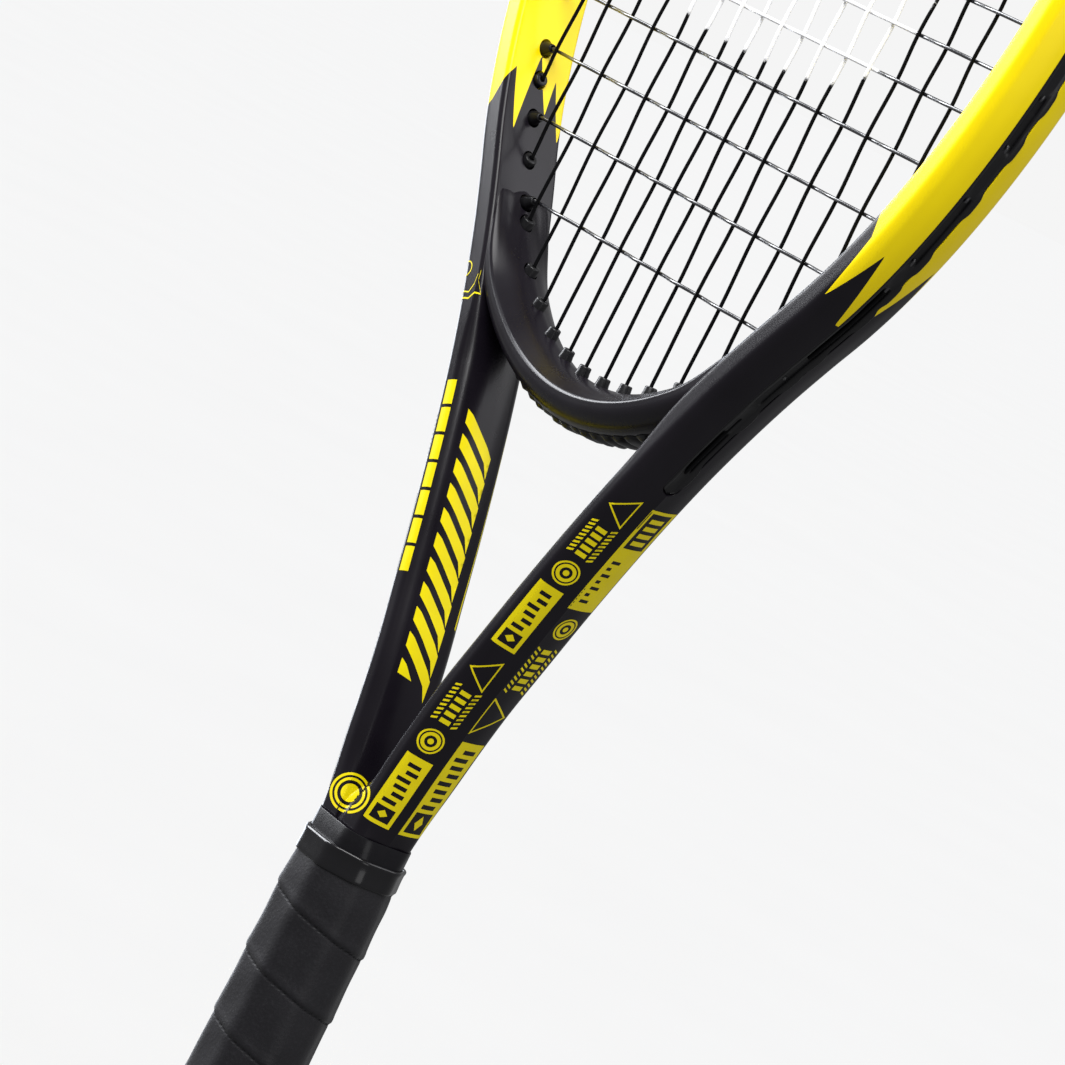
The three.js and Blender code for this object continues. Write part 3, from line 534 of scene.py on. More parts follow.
def string_material(name, base, alt, rough, coat, vertical):
    """twisted string: fine helical ridges, white stencil ink where the mark crosses the bed"""
    m, nt, bs = material(name)
    vec = coords(nt)
    n1 = noise(nt, vec, 0.12, 3)
    n2 = noise(nt, vec, 2.0, 3, 0.7)
    sep = nt.nodes.new("ShaderNodeSeparateXYZ")
    nt.links.new(vec, sep.inputs[0])
    x, y, z = sep.outputs
    along = z if vertical else x
    twist = math_(nt, "SINE", math_(nt, "ADD", math_(nt, "MULTIPLY", along, 4.2), math_(nt, "MULTIPLY", y, 5.0)))
    c = mix_rgb(nt, remap(nt, n1, 0.3, 0.7, 0, 1), base, alt)
    # squircle ring, worn at its edges
    def oval(a, b):
        p = math_(nt, "POWER", math_(nt, "ABSOLUTE", math_(nt, "DIVIDE", x, a)), 4.0)
        q = math_(nt, "POWER", math_(nt, "ABSOLUTE", math_(nt, "DIVIDE", math_(nt, "SUBTRACT", z, 521.0), b)), 4.0)
        return math_(nt, "ADD", math_(nt, "ADD", p, q), math_(nt, "MULTIPLY", math_(nt, "SUBTRACT", n2, 0.5), 0.16))
    inside = remap(nt, oval(67.0, 71.0), 0.97, 1.03, 1, 0)
    hole = remap(nt, oval(34.0, 34.0), 0.96, 1.04, 0, 1)
    ink = math_(nt, "MULTIPLY", inside, hole, True)
    # ink covers the strings all round inside the ring
    c = mix_rgb(nt, ink, c, (0.90, 0.90, 0.91))
    nt.links.new(c, bs.inputs["Base Color"])
    r = remap(nt, n2, 0.3, 0.7, rough - 0.05, rough + 0.08)
    nt.links.new(math_(nt, "ADD", r, math_(nt, "MULTIPLY", ink, 0.2), True), bs.inputs["Roughness"])
    bs.inputs["Coat Weight"].default_value = coat
    bs.inputs["Coat Roughness"].default_value = 0.1
    # the upright mains' weak reflection is painted shade for strings that catch little of the light
    bs.inputs["Specular IOR Level"].default_value = 0.06 if vertical else 0.55
    nt.links.new(bump(nt, twist, 0.000003 if vertical else 0.000006, 0.4, bump(nt, n2, 0.000003, 0.4)), bs.inputs["Normal"])
    return m


def leather(name):
    """polyurethane grip: pebbled grain, pores, lighter where the grain stands up"""
    m, nt, bs = material(name)
    vec = coords(nt)
    n1 = noise(nt, vec, 0.06, 4)
    n2 = noise(nt, vec, 0.9, 4, 0.6)
    vo = nt.nodes.new("ShaderNodeTexVoronoi")
    vo.inputs["Scale"].default_value = 0.85
    nt.links.new(vec, vo.inputs["Vector"])
    cells = remap(nt, vo.outputs["Distance"], 0.0, 0.75, 1.0, 0.0, True)
    vp = nt.nodes.new("ShaderNodeTexVoronoi")
    vp.inputs["Scale"].default_value = 1.9
    nt.links.new(vec, vp.inputs["Vector"])
    c = mix_rgb(nt, remap(nt, n1, 0.3, 0.7, 0, 1), (0.0072, 0.0068, 0.0086), (0.0118, 0.0112, 0.0138))
    c = mix_rgb(nt, remap(nt, n2, 0.5, 0.75, 0, 0.4), c, (0.022, 0.0215, 0.0255))
    nt.links.new(c, bs.inputs["Base Color"])
    r = math_(nt, "ADD", remap(nt, n1, 0.3, 0.7, 0.44, 0.54), math_(nt, "MULTIPLY", n2, 0.08))
    nt.links.new(r, bs.inputs["Roughness"])
    bs.inputs["Sheen Weight"].default_value = 0.05
    bs.inputs["Sheen Roughness"].default_value = 0.45
    bs.inputs["Specular IOR Level"].default_value = 0.26
    b1 = bump(nt, n2, 0.00012, 0.55)
    b2 = bump(nt, cells, 0.00005, 0.6, b1)
    b3 = bump(nt, vp.outputs["Distance"], 0.00002, 0.5, b2)
    nt.links.new(b3, bs.inputs["Normal"])
    return m


def steel(name):
    m, nt, bs = material(name)
    v = coords(nt, 1000.0, (0.2, 1, 3))
    n = noise(nt, v, 1.2, 4, 0.7)
    nt.links.new(mix_rgb(nt, remap(nt, n, 0.3, 0.7, 0, 1), (0.45, 0.45, 0.47), (0.62, 0.62, 0.64)), bs.inputs["Base Color"])
    bs.inputs["Metallic"].default_value = 1.0
    nt.links.new(remap(nt, n, 0.3, 0.7, 0.25, 0.42), bs.inputs["Roughness"])
    nt.links.new(bump(nt, n, 0.00001, 0.5), bs.inputs["Normal"])
    return m


PER_HOOP = outline(500.0)[2]


def _pp(w):
    return (-w) % PER_HOOP / PER_HOOP


ZIGZAG = [(0.0, 411.5), (_pp(-6.6), 411.0), (_pp(-11.0), 436.5), (_pp(-15.3), 416.0), (_pp(-17.6), 417.5), (_pp(-25.4), 428.5), (_pp(-27.4), 407.5),
          (_pp(-33.7), 435.5), (_pp(30.7), 416.5), (_pp(28.3), 429.5), (_pp(24.5), 409.5), (_pp(21.0), 424.0), (_pp(15.1), 407.5),
          (_pp(12.7), 438.0), (_pp(6.2), 419.0), (1.0, 419.0)]

M_FRAME = paint("frame_two_tone", True)
M_BLACK = paint("black_lacquer", False)
M_INK = print_ink("yellow_ink", (0.88, 0.735, 0.0010), (0.80, 0.66, 0.0010))
M_STRIP = plastic("strip_plastic", (0.0040, 0.0039, 0.0048), (0.0066, 0.0064, 0.0076), 0.34, 0.00002, 1.3, 0.10, 0.04)
M_GUARD = plastic("guard_plastic", (0.0052, 0.0051, 0.0060), (0.0090, 0.0088, 0.0102), 0.44, 0.00004, 0.9, 0.75)
# mains and crosses are one black string: the mains' darker base and weaker reflection are painted shade, as upright
# strings catch little of the light
M_MAIN = string_material("string_main", (0.0016, 0.0016, 0.0020), (0.0030, 0.0030, 0.0036), 0.46, 0.0, True)
M_CROSS = string_material("string_cross", (0.0100, 0.0100, 0.0125), (0.0200, 0.0200, 0.0240), 0.30, 0.60, False)
M_LEATHER = leather("grip_leather")
M_TAPE = plastic("tape_vinyl", (0.0044, 0.0041, 0.0054), (0.0068, 0.0064, 0.0082), 0.31, 0.00003, 0.5, 0.0, 0.03, 0.2)
M_COLLAR = plastic("collar_rubber", (0.0046, 0.0044, 0.0054), (0.0070, 0.0067, 0.0082), 0.24, 0.00002, 0.35, 0.0, 0.18, 0.28)
M_CAP = plastic("cap_plastic", (0.010, 0.0098, 0.0115), (0.016, 0.0155, 0.0180), 0.40, 0.00004, 1.1, 0.25)
M_BADGE = plastic("badge_plastic", (0.70, 0.60, 0.003), (0.62, 0.52, 0.003), 0.33, 0.00001, 1.0, 0.0, 0.3)
M_FOAM = plastic("handle_foam", (0.045, 0.043, 0.040), (0.075, 0.072, 0.066), 0.75, 0.0002, 1.6)
M_STEEL = steel("staple_steel")


# ------------------------------------------------------------ frame tube
def stations():
    q = []
    s = 2.0
    while s < S_END - 0.01:
        q.append(s)
        z = float(np.interp(s, PS, PATH[:, 1]))
        if s < s_at_z(180):
            s += 6.0
        elif abs(s - (S_GROOVE + 1.5)) < 4.0:
            s += 0.3
        elif s < s_at_z(345):
            s += 1.0
        else:
            s += 1.5
    q.append(S_END)
    return q


def frame_tube():
    st = stations()
    V, ps, pp = [], [], []
    rings = 0
    for side, order in ((1, st), (-1, st[-2::-1])):
        for s in order:
            o, d, per = outline(s)
            c, n = on_path(s)
            x = c[0] + n[0] * o[:, 0]
            z = c[1] + n[1] * o[:, 0]
            if s < s_at_z(260):
                x = np.maximum(x, 0.03)
            V.append(np.stack([side * x, o[:, 1], z], 1))
            w = -d
            rise = 19.0 * np.clip((-15.4 - w) / 2.6, 0, 1) * np.clip((w + 30.0) / 6.0, 0, 1) if side > 0 else 0.0 * w
            ps.append(np.full(len(o), s) - rise)
            pp.append(d / per)
            rings += 1
    n = V[0].shape[0]
    V, ps, pp = np.vstack(V), np.concatenate(ps), np.concatenate(pp)
    F = grid_faces(rings, n)
    F.append(tuple(range(n)))
    F.append(tuple((rings - 1) * n + k for k in reversed(range(n))))
    ob = make("frame_tube_shell", V, F, sharp=None, mats=[M_FRAME, M_STRIP])
    # web between the two legs: a smooth valley front and back that runs out into a rounded crotch
    W, nu, nv = [], 33, 44
    for face in (-1, 1):
        for i in range(nv):
            for j in range(nu):
                u = -1 + 2 * j / (nu - 1)
                zt = 208.5 + 9.0 * (1 - math.sqrt(max(0.0, 1 - 0.97 * u * u)))
                v = 1 - (1 - i / (nv - 1)) ** 1.8
                z = 188.0 + (zt - 188.0) * v
                half = max(0.4, float(np.interp(z, PATH[:, 1], PATH[:, 0])) - 6.1) + 2.6
                t = max(0.0, (z - (zt - 9.0)) / 9.0)
                deep = float(np.interp(z, (188, 197, 202, 207, 213, 228), (10.1, 10.1, 9.4, 8.2, 7.0, 5.6))) + 0.3 * u * u
                W.append((u * half, face * deep * math.sqrt(max(0.0, 1 - t * t)), z))
    f0, f1 = grid_faces(nv, nu, close_cols=False), grid_faces(nv, nu, close_cols=False, base=nu * nv)
    WF = [tuple(reversed(f)) for f in f0] + f1
    q = nu * nv
    for i in range(nv - 1):
        for j in (0, nu - 1):
            WF.append((i * nu + j, (i + 1) * nu + j, q + (i + 1) * nu + j, q + i * nu + j))
    for j in range(nu - 1):
        WF.append((j, j + 1, q + j + 1, q + j))
    web = make("web", W, WF, sharp=None, mats=[M_FRAME])
    bm = bmesh.new()
    bm.from_mesh(web.data)
    bmesh.ops.remove_doubles(bm, verts=bm.verts, dist=1e-6)
    bmesh.ops.recalc_face_normals(bm, faces=bm.faces)
    bm.to_mesh(web.data)
    bm.free()
    boolean(ob, web, "UNION")
    boolean(ob, seats(CROSS_HOLES + MAIN_BOT[5:] + MAIN_TOP[4:]), "DIFFERENCE")
    me = ob.data
    kd = KDTree(len(V))
    for i, v in enumerate(V):
        kd.insert(Vector(v * 0.001), i)
    kd.balance()
    a1 = me.attributes.get("ps") or me.attributes.new("ps", "FLOAT", "POINT")
    a2 = me.attributes.get("pp") or me.attributes.new("pp", "FLOAT", "POINT")
    idx = [kd.find(v.co)[1] for v in me.vertices]
    a1.data.foreach_set("value", ps[idx].astype(np.float32))
    a2.data.foreach_set("value", pp[idx].astype(np.float32))
    me.shade_smooth()
    me.set_sharp_from_angle(angle=math.radians(40))
    return ob


def seats(which):
    """oval seats sunk in the inner wall round the barrels"""
    C, CF = [], []
    for side in (1, -1):
        for x0, z0, W0, E0 in which:
            t = -math.acos(min(1.0, W0[0] / HEAD_A)) if W0[1] < HEAD_ZW else None
            if t is None:
                _, nn = on_path(s_near(W0[0], W0[1]))
                nn = unit((nn[0], 0, nn[1]))
            else:
                nn = unit((math.cos(t) / HEAD_A, 0, math.sin(t) / (HEAD_ZW - HEAD_BOT)))
            t = unit(np.cross(nn, (0, 1, 0)))
            mid = np.array([W0[0], 0, W0[1]])
            base = len(C)
            for h, g in ((-2.0, 1.0), (2.2, 0.97), (2.7, 0.86)):
                for k in range(28):
                    a = 2 * math.pi * k / 28
                    p = mid + nn * h + t * (3.15 * g * math.cos(a)) + np.array([0, 1.0, 0]) * (2.5 * g * math.sin(a))
                    C.append((side * p[0], p[1], p[2]))
            f = grid_faces(3, 28, base=base)
            f.append(tuple(base + k for k in range(28)))
            f.append(tuple(base + 56 + k for k in reversed(range(28))))
            CF += f
    return make("seats", C, CF, sharp=None, mats=[M_BLACK])


def s_near(x, z):
    return float(PS[np.argmin((PATH[:, 0] - abs(x)) ** 2 + (PATH[:, 1] - z) ** 2)])


def holes(xs, walls, exits):
    return [(x, z, np.array(w, float), np.array(e, float)) for (x, z), w, e in zip(xs, walls, exits)]


MAIN_BOT = holes([(x, 0) for x in MAIN_X],
                 [(5.7, 344.7), (17.0, 346.3), (28.5, 349.7), (41.0, 355.3), (53.0, 363.0), (66.5, 374.6), (80.9, 391.1), (95.2, 413.9)],
                 [(6.2, 331.4), (18.4, 333.0), (30.8, 336.4), (44.3, 342.1), (60.7, 336.1), (72.8, 357.9), (88.4, 381.9), (105.1, 408.1)])
MAIN_TOP = holes([(x, 0) for x in MAIN_X],
                 [(5.7, 671.8), (16.8, 671.0), (28.3, 669.0), (40.8, 665.6), (54.0, 660.2), (67.8, 652.4), (81.9, 641.2), (96.4, 625.1)],
                 [(5.9, 683.1), (17.7, 682.4), (29.9, 680.3), (43.3, 676.7), (57.4, 671.1), (72.2, 663.0), (87.6, 651.4), (103.4, 634.8)])
CROSS_HOLES = holes([(0, z) for z in CROSS_Z],
                    [(71.4, 379.8), (88.8, 403.0), (99.8, 423.2), (107.8, 442.7), (113.5, 460.7), (117.1, 475.0), (119.8, 489.7), (121.7, 503.6), (122.9, 516.9), (123.4, 530.1),
                     (123.4, 543.1), (122.5, 556.1), (120.6, 569.0), (117.5, 581.8), (113.3, 594.4), (107.8, 606.7), (100.7, 619.0), (90.2, 632.7), (74.4, 647.6)],
                    [(82.8, 373.6), (99.7, 398.7), (110.8, 419.8), (119.1, 440.0), (124.9, 458.6), (128.4, 473.4), (131.3, 488.5), (133.2, 502.8), (134.4, 516.4), (134.9, 529.9),
                     (134.8, 543.3), (133.8, 556.9), (131.9, 570.4), (128.8, 583.9), (124.5, 597.2), (118.9, 610.3), (111.5, 623.4), (100.6, 638.2), (84.0, 654.4)])


# ------------------------------------------------------------ yoke
def yoke_at(t):
    """centre and downward normal of the yoke at hoop angle t"""
    x, z = hoop_inner(t)
    nx, nz = hoop_normal(t)
    return np.array([x + nx * 7.0, z + nz * 7.0]), np.array([nx, nz])


YOKE_SEC = [(7.0, 0.0, 0.3), (7.0, 5.2, 2.0), (5.2, 9.0, 2.5), (2.4, 11.2, 2.0), (-0.9, 11.4, 0.35), (-1.6, 11.05, 0.4), (-5.7, 5.4, 2.8), (-7.0, 0.0, 1.5)]


def yoke_section():
    gw, d = 2.7, 2.1
    half = [(7.0 - d, gw - 0.1, 0.2), (7.0, gw, 0.2)] + YOKE_SEC[1:7]
    pts = [(7.0 - d, 0.0)] + [(u, -v) for u, v, _ in half] + [(YOKE_SEC[7][0], 0.0)] + [(u, v) for u, v, _ in reversed(half)]
    rad = [0.2] + [r for *_, r in half] + [1.0] + [r for *_, r in reversed(half)]
    return np.roll(round_poly(pts, rad), -2, axis=0)


def yoke():
    o = yoke_section()
    t0 = math.acos(84.0 / HEAD_A)
    V = []
    n = 150
    for i in range(n + 1):
        t = -t0 + (-math.pi + 2 * t0) * i / n
        x, z = HEAD_A * math.cos(t), HEAD_ZW + (HEAD_ZW - HEAD_BOT) * math.sin(t)
        nn = unit((math.cos(t) / HEAD_A, math.sin(t) / (HEAD_ZW - HEAD_BOT)))
        cx, cz = x + nn[0] * 7.0, z + nn[1] * 7.0
        # towards the ends the inner face stays flush with the hoop while the outer half runs out inside the tube
        e = float(smooth(abs(x), 58.0, 84.0))
        g = float(smooth(abs(x), 50.0, 70.0))
        u = o[:, 0].copy()
        front = np.clip((np.abs(o[:, 1]) - 5.0) / 5.0, 0, 1) * (u < 0)
        u = u - 2.9 * g * front
        u = -7.0 + 0.20 * e + (u + 7.0) * (1 - 0.80 * e) + 2.2 * smooth(e, 0.55, 1.0)
        y = o[:, 1] * (1 - 0.20 * e)
        V.append(np.stack([cx + nn[0] * u, y, cz + nn[1] * u], 1))
    V = np.vstack(V)
    m = len(o)
    F = grid_faces(n + 1, m) + [tuple(range(m)), tuple(n * m + k for k in reversed(range(m)))]
    ob = make("yoke_shell", V, F, sharp=None, mats=[M_BLACK])
    boolean(ob, seats(CROSS_HOLES[:2] + MAIN_BOT[4:7]), "DIFFERENCE")
    ob.data.shade_smooth()
    ob.data.set_sharp_from_angle(angle=math.radians(40))
    return ob


# ------------------------------------------------------------ grommets
REACH_MAIN = [2.6, 2.6, 2.4, 2.1, 1.6, 1.5, 1.4, 1.4]
REACH_CROSS = 3.6


def barrel(side, hole, reach, base, kind="main"):
    """grommet barrel standing out of the inner wall, open at its mouth: straight, cupped or coned"""
    x0, z0, W0, E0 = hole
    b = unit(E0 - W0)
    o = np.array([side * W0[0], 0.0, W0[1]])
    a = np.array([-side * b[0], 0.0, -b[1]])
    if kind == "cross":
        body = [(-5.0, 2.25), (0.5, 2.25), (1.0, 2.05), (reach - 0.5, 1.42), (reach - 0.12, 1.34), (reach, 1.2)]
    elif reach < 2.2:
        body = [(-5.0, 2.25), (reach - 0.5, 2.2), (reach - 0.15, 2.08), (reach, 1.85)]
    else:
        body = [(-5.0, 2.2), (0.1, 2.15), (0.8, 1.98), (reach - 0.35, 1.88), (reach - 0.1, 1.8), (reach, 1.62)]
    prof = body + [(reach, 0.98), (reach - 0.3, 0.8), (-5.0, 0.76)]
    return lathe(prof, o, a, 24, base)


def strip(name, side, s0, s1, hole_s, loops, lip=True):
    """strip lying in the string groove, with slots where the string runs from hole to hole"""
    qs = np.arange(s0, s1 + 0.01, 0.6)
    V, F = [], []
    hole_s = np.array(hole_s)
    cols = None
    for q in qs:
        o, d, per = outline(q)
        c, n = on_path(q)
        ue = float(np.interp(5.8, d, o[:, 0])) if q > S_GROOVE + GW else 6.0
        end = min(1.0, max(0.0, (q - s0) / 1.9), max(0.0, (s1 - q) / 1.9))
        wid = 2.60 * math.sqrt(max(0.04, 1 - (1 - end) ** 2))
        near = float(np.min(np.abs(hole_s - q))) if len(hole_s) else 99
        sc = math.exp(-(near / 4.6) ** 4)
        rec = 0.0
        for a, b in loops:
            if a - 0.1 <= q <= b + 0.1:
                rec = max(rec, 1.0)
            else:
                dist = min(abs(q - a), abs(q - b))
                rec = max(rec, 1 - min(1.0, dist / 2.4))
        rec = float(smooth(rec, 0, 1))
        floor_u = ue - 0.25 - 0.75 * rec
        top_u = ue - 0.10 + 0.18 * sc
        back = wid + (0.95 * sc if lip else 0.0) * end
        bu = ue + 0.02 + 0.16 * end * sc
        cs = [(ue - 2.7, -wid + 0.3), (top_u - 0.25, -wid), (top_u, -wid + 0.28), (top_u, -1.75), (top_u - 0.15, -1.55), (floor_u, -1.25), (floor_u, 0.0), (floor_u, 1.25),
              (top_u - 0.15, 1.55), (top_u, 1.75), (bu, back - 0.3), (bu - 0.22, back), (ue - 0.5, wid), (ue - 2.7, wid - 0.3)]
        if wid < 2.0:
            cs = [(u, v * wid / 2.6) for u, v in cs]
        for u, v in cs:
            V.append((side * (c[0] + n[0] * u), v, c[1] + n[1] * u))
        cols = len(cs)
    F = grid_faces(len(qs), cols) + [tuple(range(cols)), tuple((len(qs) - 1) * cols + k for k in reversed(range(cols)))]
    return V, F


def hoop_strip(side):
    s1 = s_at_z(GUARD_Z + 2)
    hs = [s_near(h[3][0], h[3][1]) for h in MAIN_BOT[4:]] + [s_near(h[3][0], h[3][1]) for h in CROSS_HOLES[:15]]
    loops = [(344.5, 359.5), (375.5, 398.0), (402.0, s_near(105.1, 408.1))]
    ss = sorted(s_near(h[3][0], h[3][1]) for h in CROSS_HOLES[:16])
    first = 0 if side > 0 else 1
    for i in range(first, len(ss) - 1, 2):
        loops.append((ss[i], ss[i + 1]))
    V, F = strip("s", side, S_GROOVE + 0.35, s1, hs, loops)
    for h, reach in zip(MAIN_BOT[4:], REACH_MAIN[4:]):
        v, f = barrel(side, h, reach, len(V))
        V += list(v); F += f
    for h in CROSS_HOLES[:15]:
        v, f = barrel(side, h, REACH_CROSS, len(V), "cross")
        V += list(v); F += f
    return make("grommets_" + ("right" if side > 0 else "left"), V, F, sharp=38, mats=[M_STRIP])


def yoke_strip():
    V, F = [], []
    rows = 0
    hx = [s * h[3][0] for s in (1, -1) for h in MAIN_BOT[:4]]
    x = -49.0
    xs = []
    while x <= 49.01:
        xs.append(x)
        x += 0.35
    for x in xs:
        t = -math.acos(x / HEAD_A) if abs(x) < HEAD_A else 0
        n = unit((math.cos(t) / HEAD_A, math.sin(t) / (HEAD_ZW - HEAD_BOT)))
        c = np.array([HEAD_A * math.cos(t), HEAD_ZW + (HEAD_ZW - HEAD_BOT) * math.sin(t)]) + n * 7.0
        end = min(1.0, (x + 49.0) / 2.2, (49.0 - x) / 2.2)
        end = math.sqrt(max(0.03, 1 - (1 - end) ** 2))
        # rounded lobes a hole's spacing apart, with two per gap
        ph = (x % 4.6) / 4.6
        lobe = math.sin(math.pi * ph) ** 0.6
        near = min(abs(x - h) for h in hx)
        top = 7.0 + (0.35 + 1.35 * lobe) * end
        top -= 0.4 * math.exp(-(near / 1.6) ** 4)
        wid = 4.0 + 0.8 * lobe
        wid *= end
        cs = [(5.0, -2.5), (6.85, -2.6), (7.02, -wid), (7.25, -wid), (top - 0.25, -wid * 0.72), (top, -wid * 0.4), (top, 0.0), (top, wid * 0.4), (top - 0.25, wid * 0.72), (7.25, wid), (7.02, wid), (6.85, 2.6), (5.0, 2.5)]
        for u, v in cs:
            V.append((c[0] + n[0] * u, v, c[1] + n[1] * u))
        cols = len(cs)
        rows += 1
    F = grid_faces(rows, cols) + [tuple(range(cols)), tuple((rows - 1) * cols + k for k in reversed(range(cols)))]
    for side in (1, -1):
        for h, reach in zip(MAIN_BOT[:4], REACH_MAIN):
            v, f = barrel(side, h, reach, len(V))
            V += list(v); F += f
    return make("grommets_throat", V, F, sharp=50, mats=[M_STRIP])


def head_guard():
    """bumper over the top of the hoop, with a channel for the strings and barrels through the wall"""
    s0 = s_at_z(GUARD_Z)
    qs = list(np.arange(s0, S_END, 1.5)) + [S_END]
    V, rows = [], 0
    hole_s = sorted([s_near(h[3][0], h[3][1]) for h in MAIN_TOP] + [s_near(h[3][0], h[3][1]) for h in CROSS_HOLES[15:]])
    for side, order in ((1, qs), (-1, qs[-2::-1])):
        for s in order:
            c, n = on_path(s)
            e = float(smooth(s, s0, s0 + 9))
            near = min(abs(s - h) for h in hole_s)
            tie = math.exp(-(near / 2.6) ** 4)
            rib = 0.12 * (math.sin((s - S_END) * 2 * math.pi / 6.4) > 0.2)
            hb = 8.6 + 3.1 * e
            o = 6.75 + 0.95 * e
            ch = 5.45 - 0.15 * tie
            cs = [(1.6, -11.95), (2.6, -12.12), (3.9, -hb + 0.15), (5.6, -hb * 0.84), (o - 0.25, -hb * 0.66), (o - rib, -6.2), (o - rib, -4.4), (o, -3.2), (o - 0.35, -2.7), (ch + 0.3, -2.35), (ch, -1.9), (ch, 0.0)]
            cs = [(min(u, o), v if abs(v) < hb + 0.4 else -hb - 0.12) for u, v in cs]
            ring = cs + [(u, -v) for u, v in reversed(cs[:-1])] + [(1.2, 9.0), (1.2, 0.0), (1.2, -9.0)]
            for u, v in ring:
                V.append((side * (c[0] + n[0] * u), v, c[1] + n[1] * u))
            m = len(ring)
            rows += 1
    F = grid_faces(rows, m) + [tuple(range(m)), tuple((rows - 1) * m + k for k in reversed(range(m)))]
    for side in (1, -1):
        for h, reach in zip(MAIN_TOP, REACH_MAIN):
            v, f = barrel(side, h, reach, len(V))
            V += list(v); F += f
        for h in CROSS_HOLES[15:]:
            v, f = barrel(side, h, REACH_CROSS, len(V), "cross")
            V += list(v); F += f
    return make("head_guard", V, F, sharp=38, mats=[M_GUARD])


# ------------------------------------------------------------ strings
R_STR = 0.57
WEAVE_MAIN, WEAVE_CROSS = 0.30, 0.80


def mouth(hole, reach):
    b = unit(hole[3] - hole[2])
    return hole[2] - b * reach


def main_line(k):
    """points of one main from its throat exit to its head exit"""
    side = 1 if k >= 8 else -1
    i = k - 8 if k >= 8 else 7 - k
    hb, ht = MAIN_BOT[i], MAIN_TOP[i]
    x = side * MAIN_X[i]
    lo, hi = mouth(hb, REACH_MAIN[i] + 0.2), mouth(ht, REACH_MAIN[i] + 0.2)
    pts = [(side * hb[3][0], 0, hb[3][1]), (side * hb[2][0], 0, hb[2][1]), (x, 0, lo[1])]
    zs = [(CROSS_Z[j], (-1 if (k + j) % 2 == 0 else 1) * WEAVE_MAIN) for j in range(19) if CROSS_Z[j] > lo[1] + 1 and CROSS_Z[j] < hi[1] - 1
          and abs(x) < float(np.interp(CROSS_Z[j], CROSS_WALL_Z, CROSS_WALL_X)) - 2]
    prev = (lo[1], 0.0)
    for z, y in zs + [(hi[1], 0.0)]:
        for t in np.linspace(0, 1, 9)[1:]:
            w = (1 - math.cos(math.pi * t)) / 2
            pts.append((x, prev[1] + (y - prev[1]) * w, prev[0] + (z - prev[0]) * t))
        prev = (z, y)
    pts += [(side * ht[2][0], 0, ht[2][1]), (side * ht[3][0], 0, ht[3][1])]
    return pts


CROSS_WALL_Z = [h[2][1] for h in CROSS_HOLES]
CROSS_WALL_X = [h[2][0] for h in CROSS_HOLES]


def groove_run(side, sa, sb, u, y):
    n = max(3, int(abs(sb - sa) / 1.5))
    out = []
    for s in np.linspace(sa, sb, n):
        c, nn = on_path(s)
        out.append((side * (c[0] + nn[0] * u), y, c[1] + nn[1] * u))
    return out


def round_path(pts, r=1.0, n=4):
    """softens the corners of a polyline"""
    P = [np.asarray(p, float) for p in pts]
    out = [P[0]]
    for a, b, c in zip(P[:-2], P[1:-1], P[2:]):
        la, lc = np.linalg.norm(a - b), np.linalg.norm(c - b)
        if la < 1e-6 or lc < 1e-6:
            continue
        ang = math.acos(max(-1, min(1, float(np.dot((a - b) / la, (c - b) / lc)))))
        if ang > math.radians(172):
            out.append(b)
            continue
        k = min(r, la * 0.45, lc * 0.45)
        p, q = b + (a - b) / la * k, b + (c - b) / lc * k
        for i in range(n + 1):
            t = i / n
            out.append((1 - t) ** 2 * p + 2 * t * (1 - t) * b + t * t * q)
    out.append(P[-1])
    return out


def yoke_run(side, xa, xb, u, y):
    out = []
    for x in np.linspace(xa, xb, 8):
        t = -math.acos(x / HEAD_A)
        n = unit((math.cos(t) / HEAD_A, math.sin(t) / (HEAD_ZW - HEAD_BOT)))
        c = np.array([HEAD_A * math.cos(t), HEAD_ZW + (HEAD_ZW - HEAD_BOT) * math.sin(t)]) + n * 7.0
        out.append((side * (c[0] + n[0] * u), y, c[1] + n[1] * u))
    return out


def throat_loop(k):
    """string from main k to main k+1 round the throat"""
    side = 1 if k >= 8 else -1
    idx = lambda q: q - 8 if q >= 8 else 7 - q
    a, b = MAIN_BOT[idx(k)], MAIN_BOT[idx(k + 1)]
    if idx(k) >= 4:
        return groove_run(side, max(345.0, s_near(*a[3])) if idx(k) == 4 or idx(k + 1) == 4 else s_near(*a[3]), s_near(*b[3]), 5.3, -0.1)[1:-1]
    return yoke_run(side, a[3][0], b[3][0], 6.9, -0.1)[1:-1]


def head_loop(k):
    side_a = 1 if k >= 8 else -1
    side_b = 1 if k + 1 >= 8 else -1
    idx = lambda q: q - 8 if q >= 8 else 7 - q
    a, b = MAIN_TOP[idx(k)], MAIN_TOP[idx(k + 1)]
    if side_a == side_b:
        return groove_run(side_a, s_near(*a[3]), s_near(*b[3]), 6.15, -0.1)[1:-1]
    s = s_near(*a[3])
    return groove_run(-1, s, S_END, 6.15, -0.1)[1:] + groove_run(1, S_END, s, 6.15, -0.1)[1:-1]


def mains():
    path = []
    for k in range(16):
        line = main_line(k)
        if k % 2 == 0:
            line = line[::-1]
        path += line
        if k < 15:
            path += throat_loop(k) if k % 2 == 0 else head_loop(k)
    path = round_path(path, 0.9)
    V, F = tube(path, R_STR, 12)
    return make("mains", V, F, sharp=None, mats=[M_MAIN])


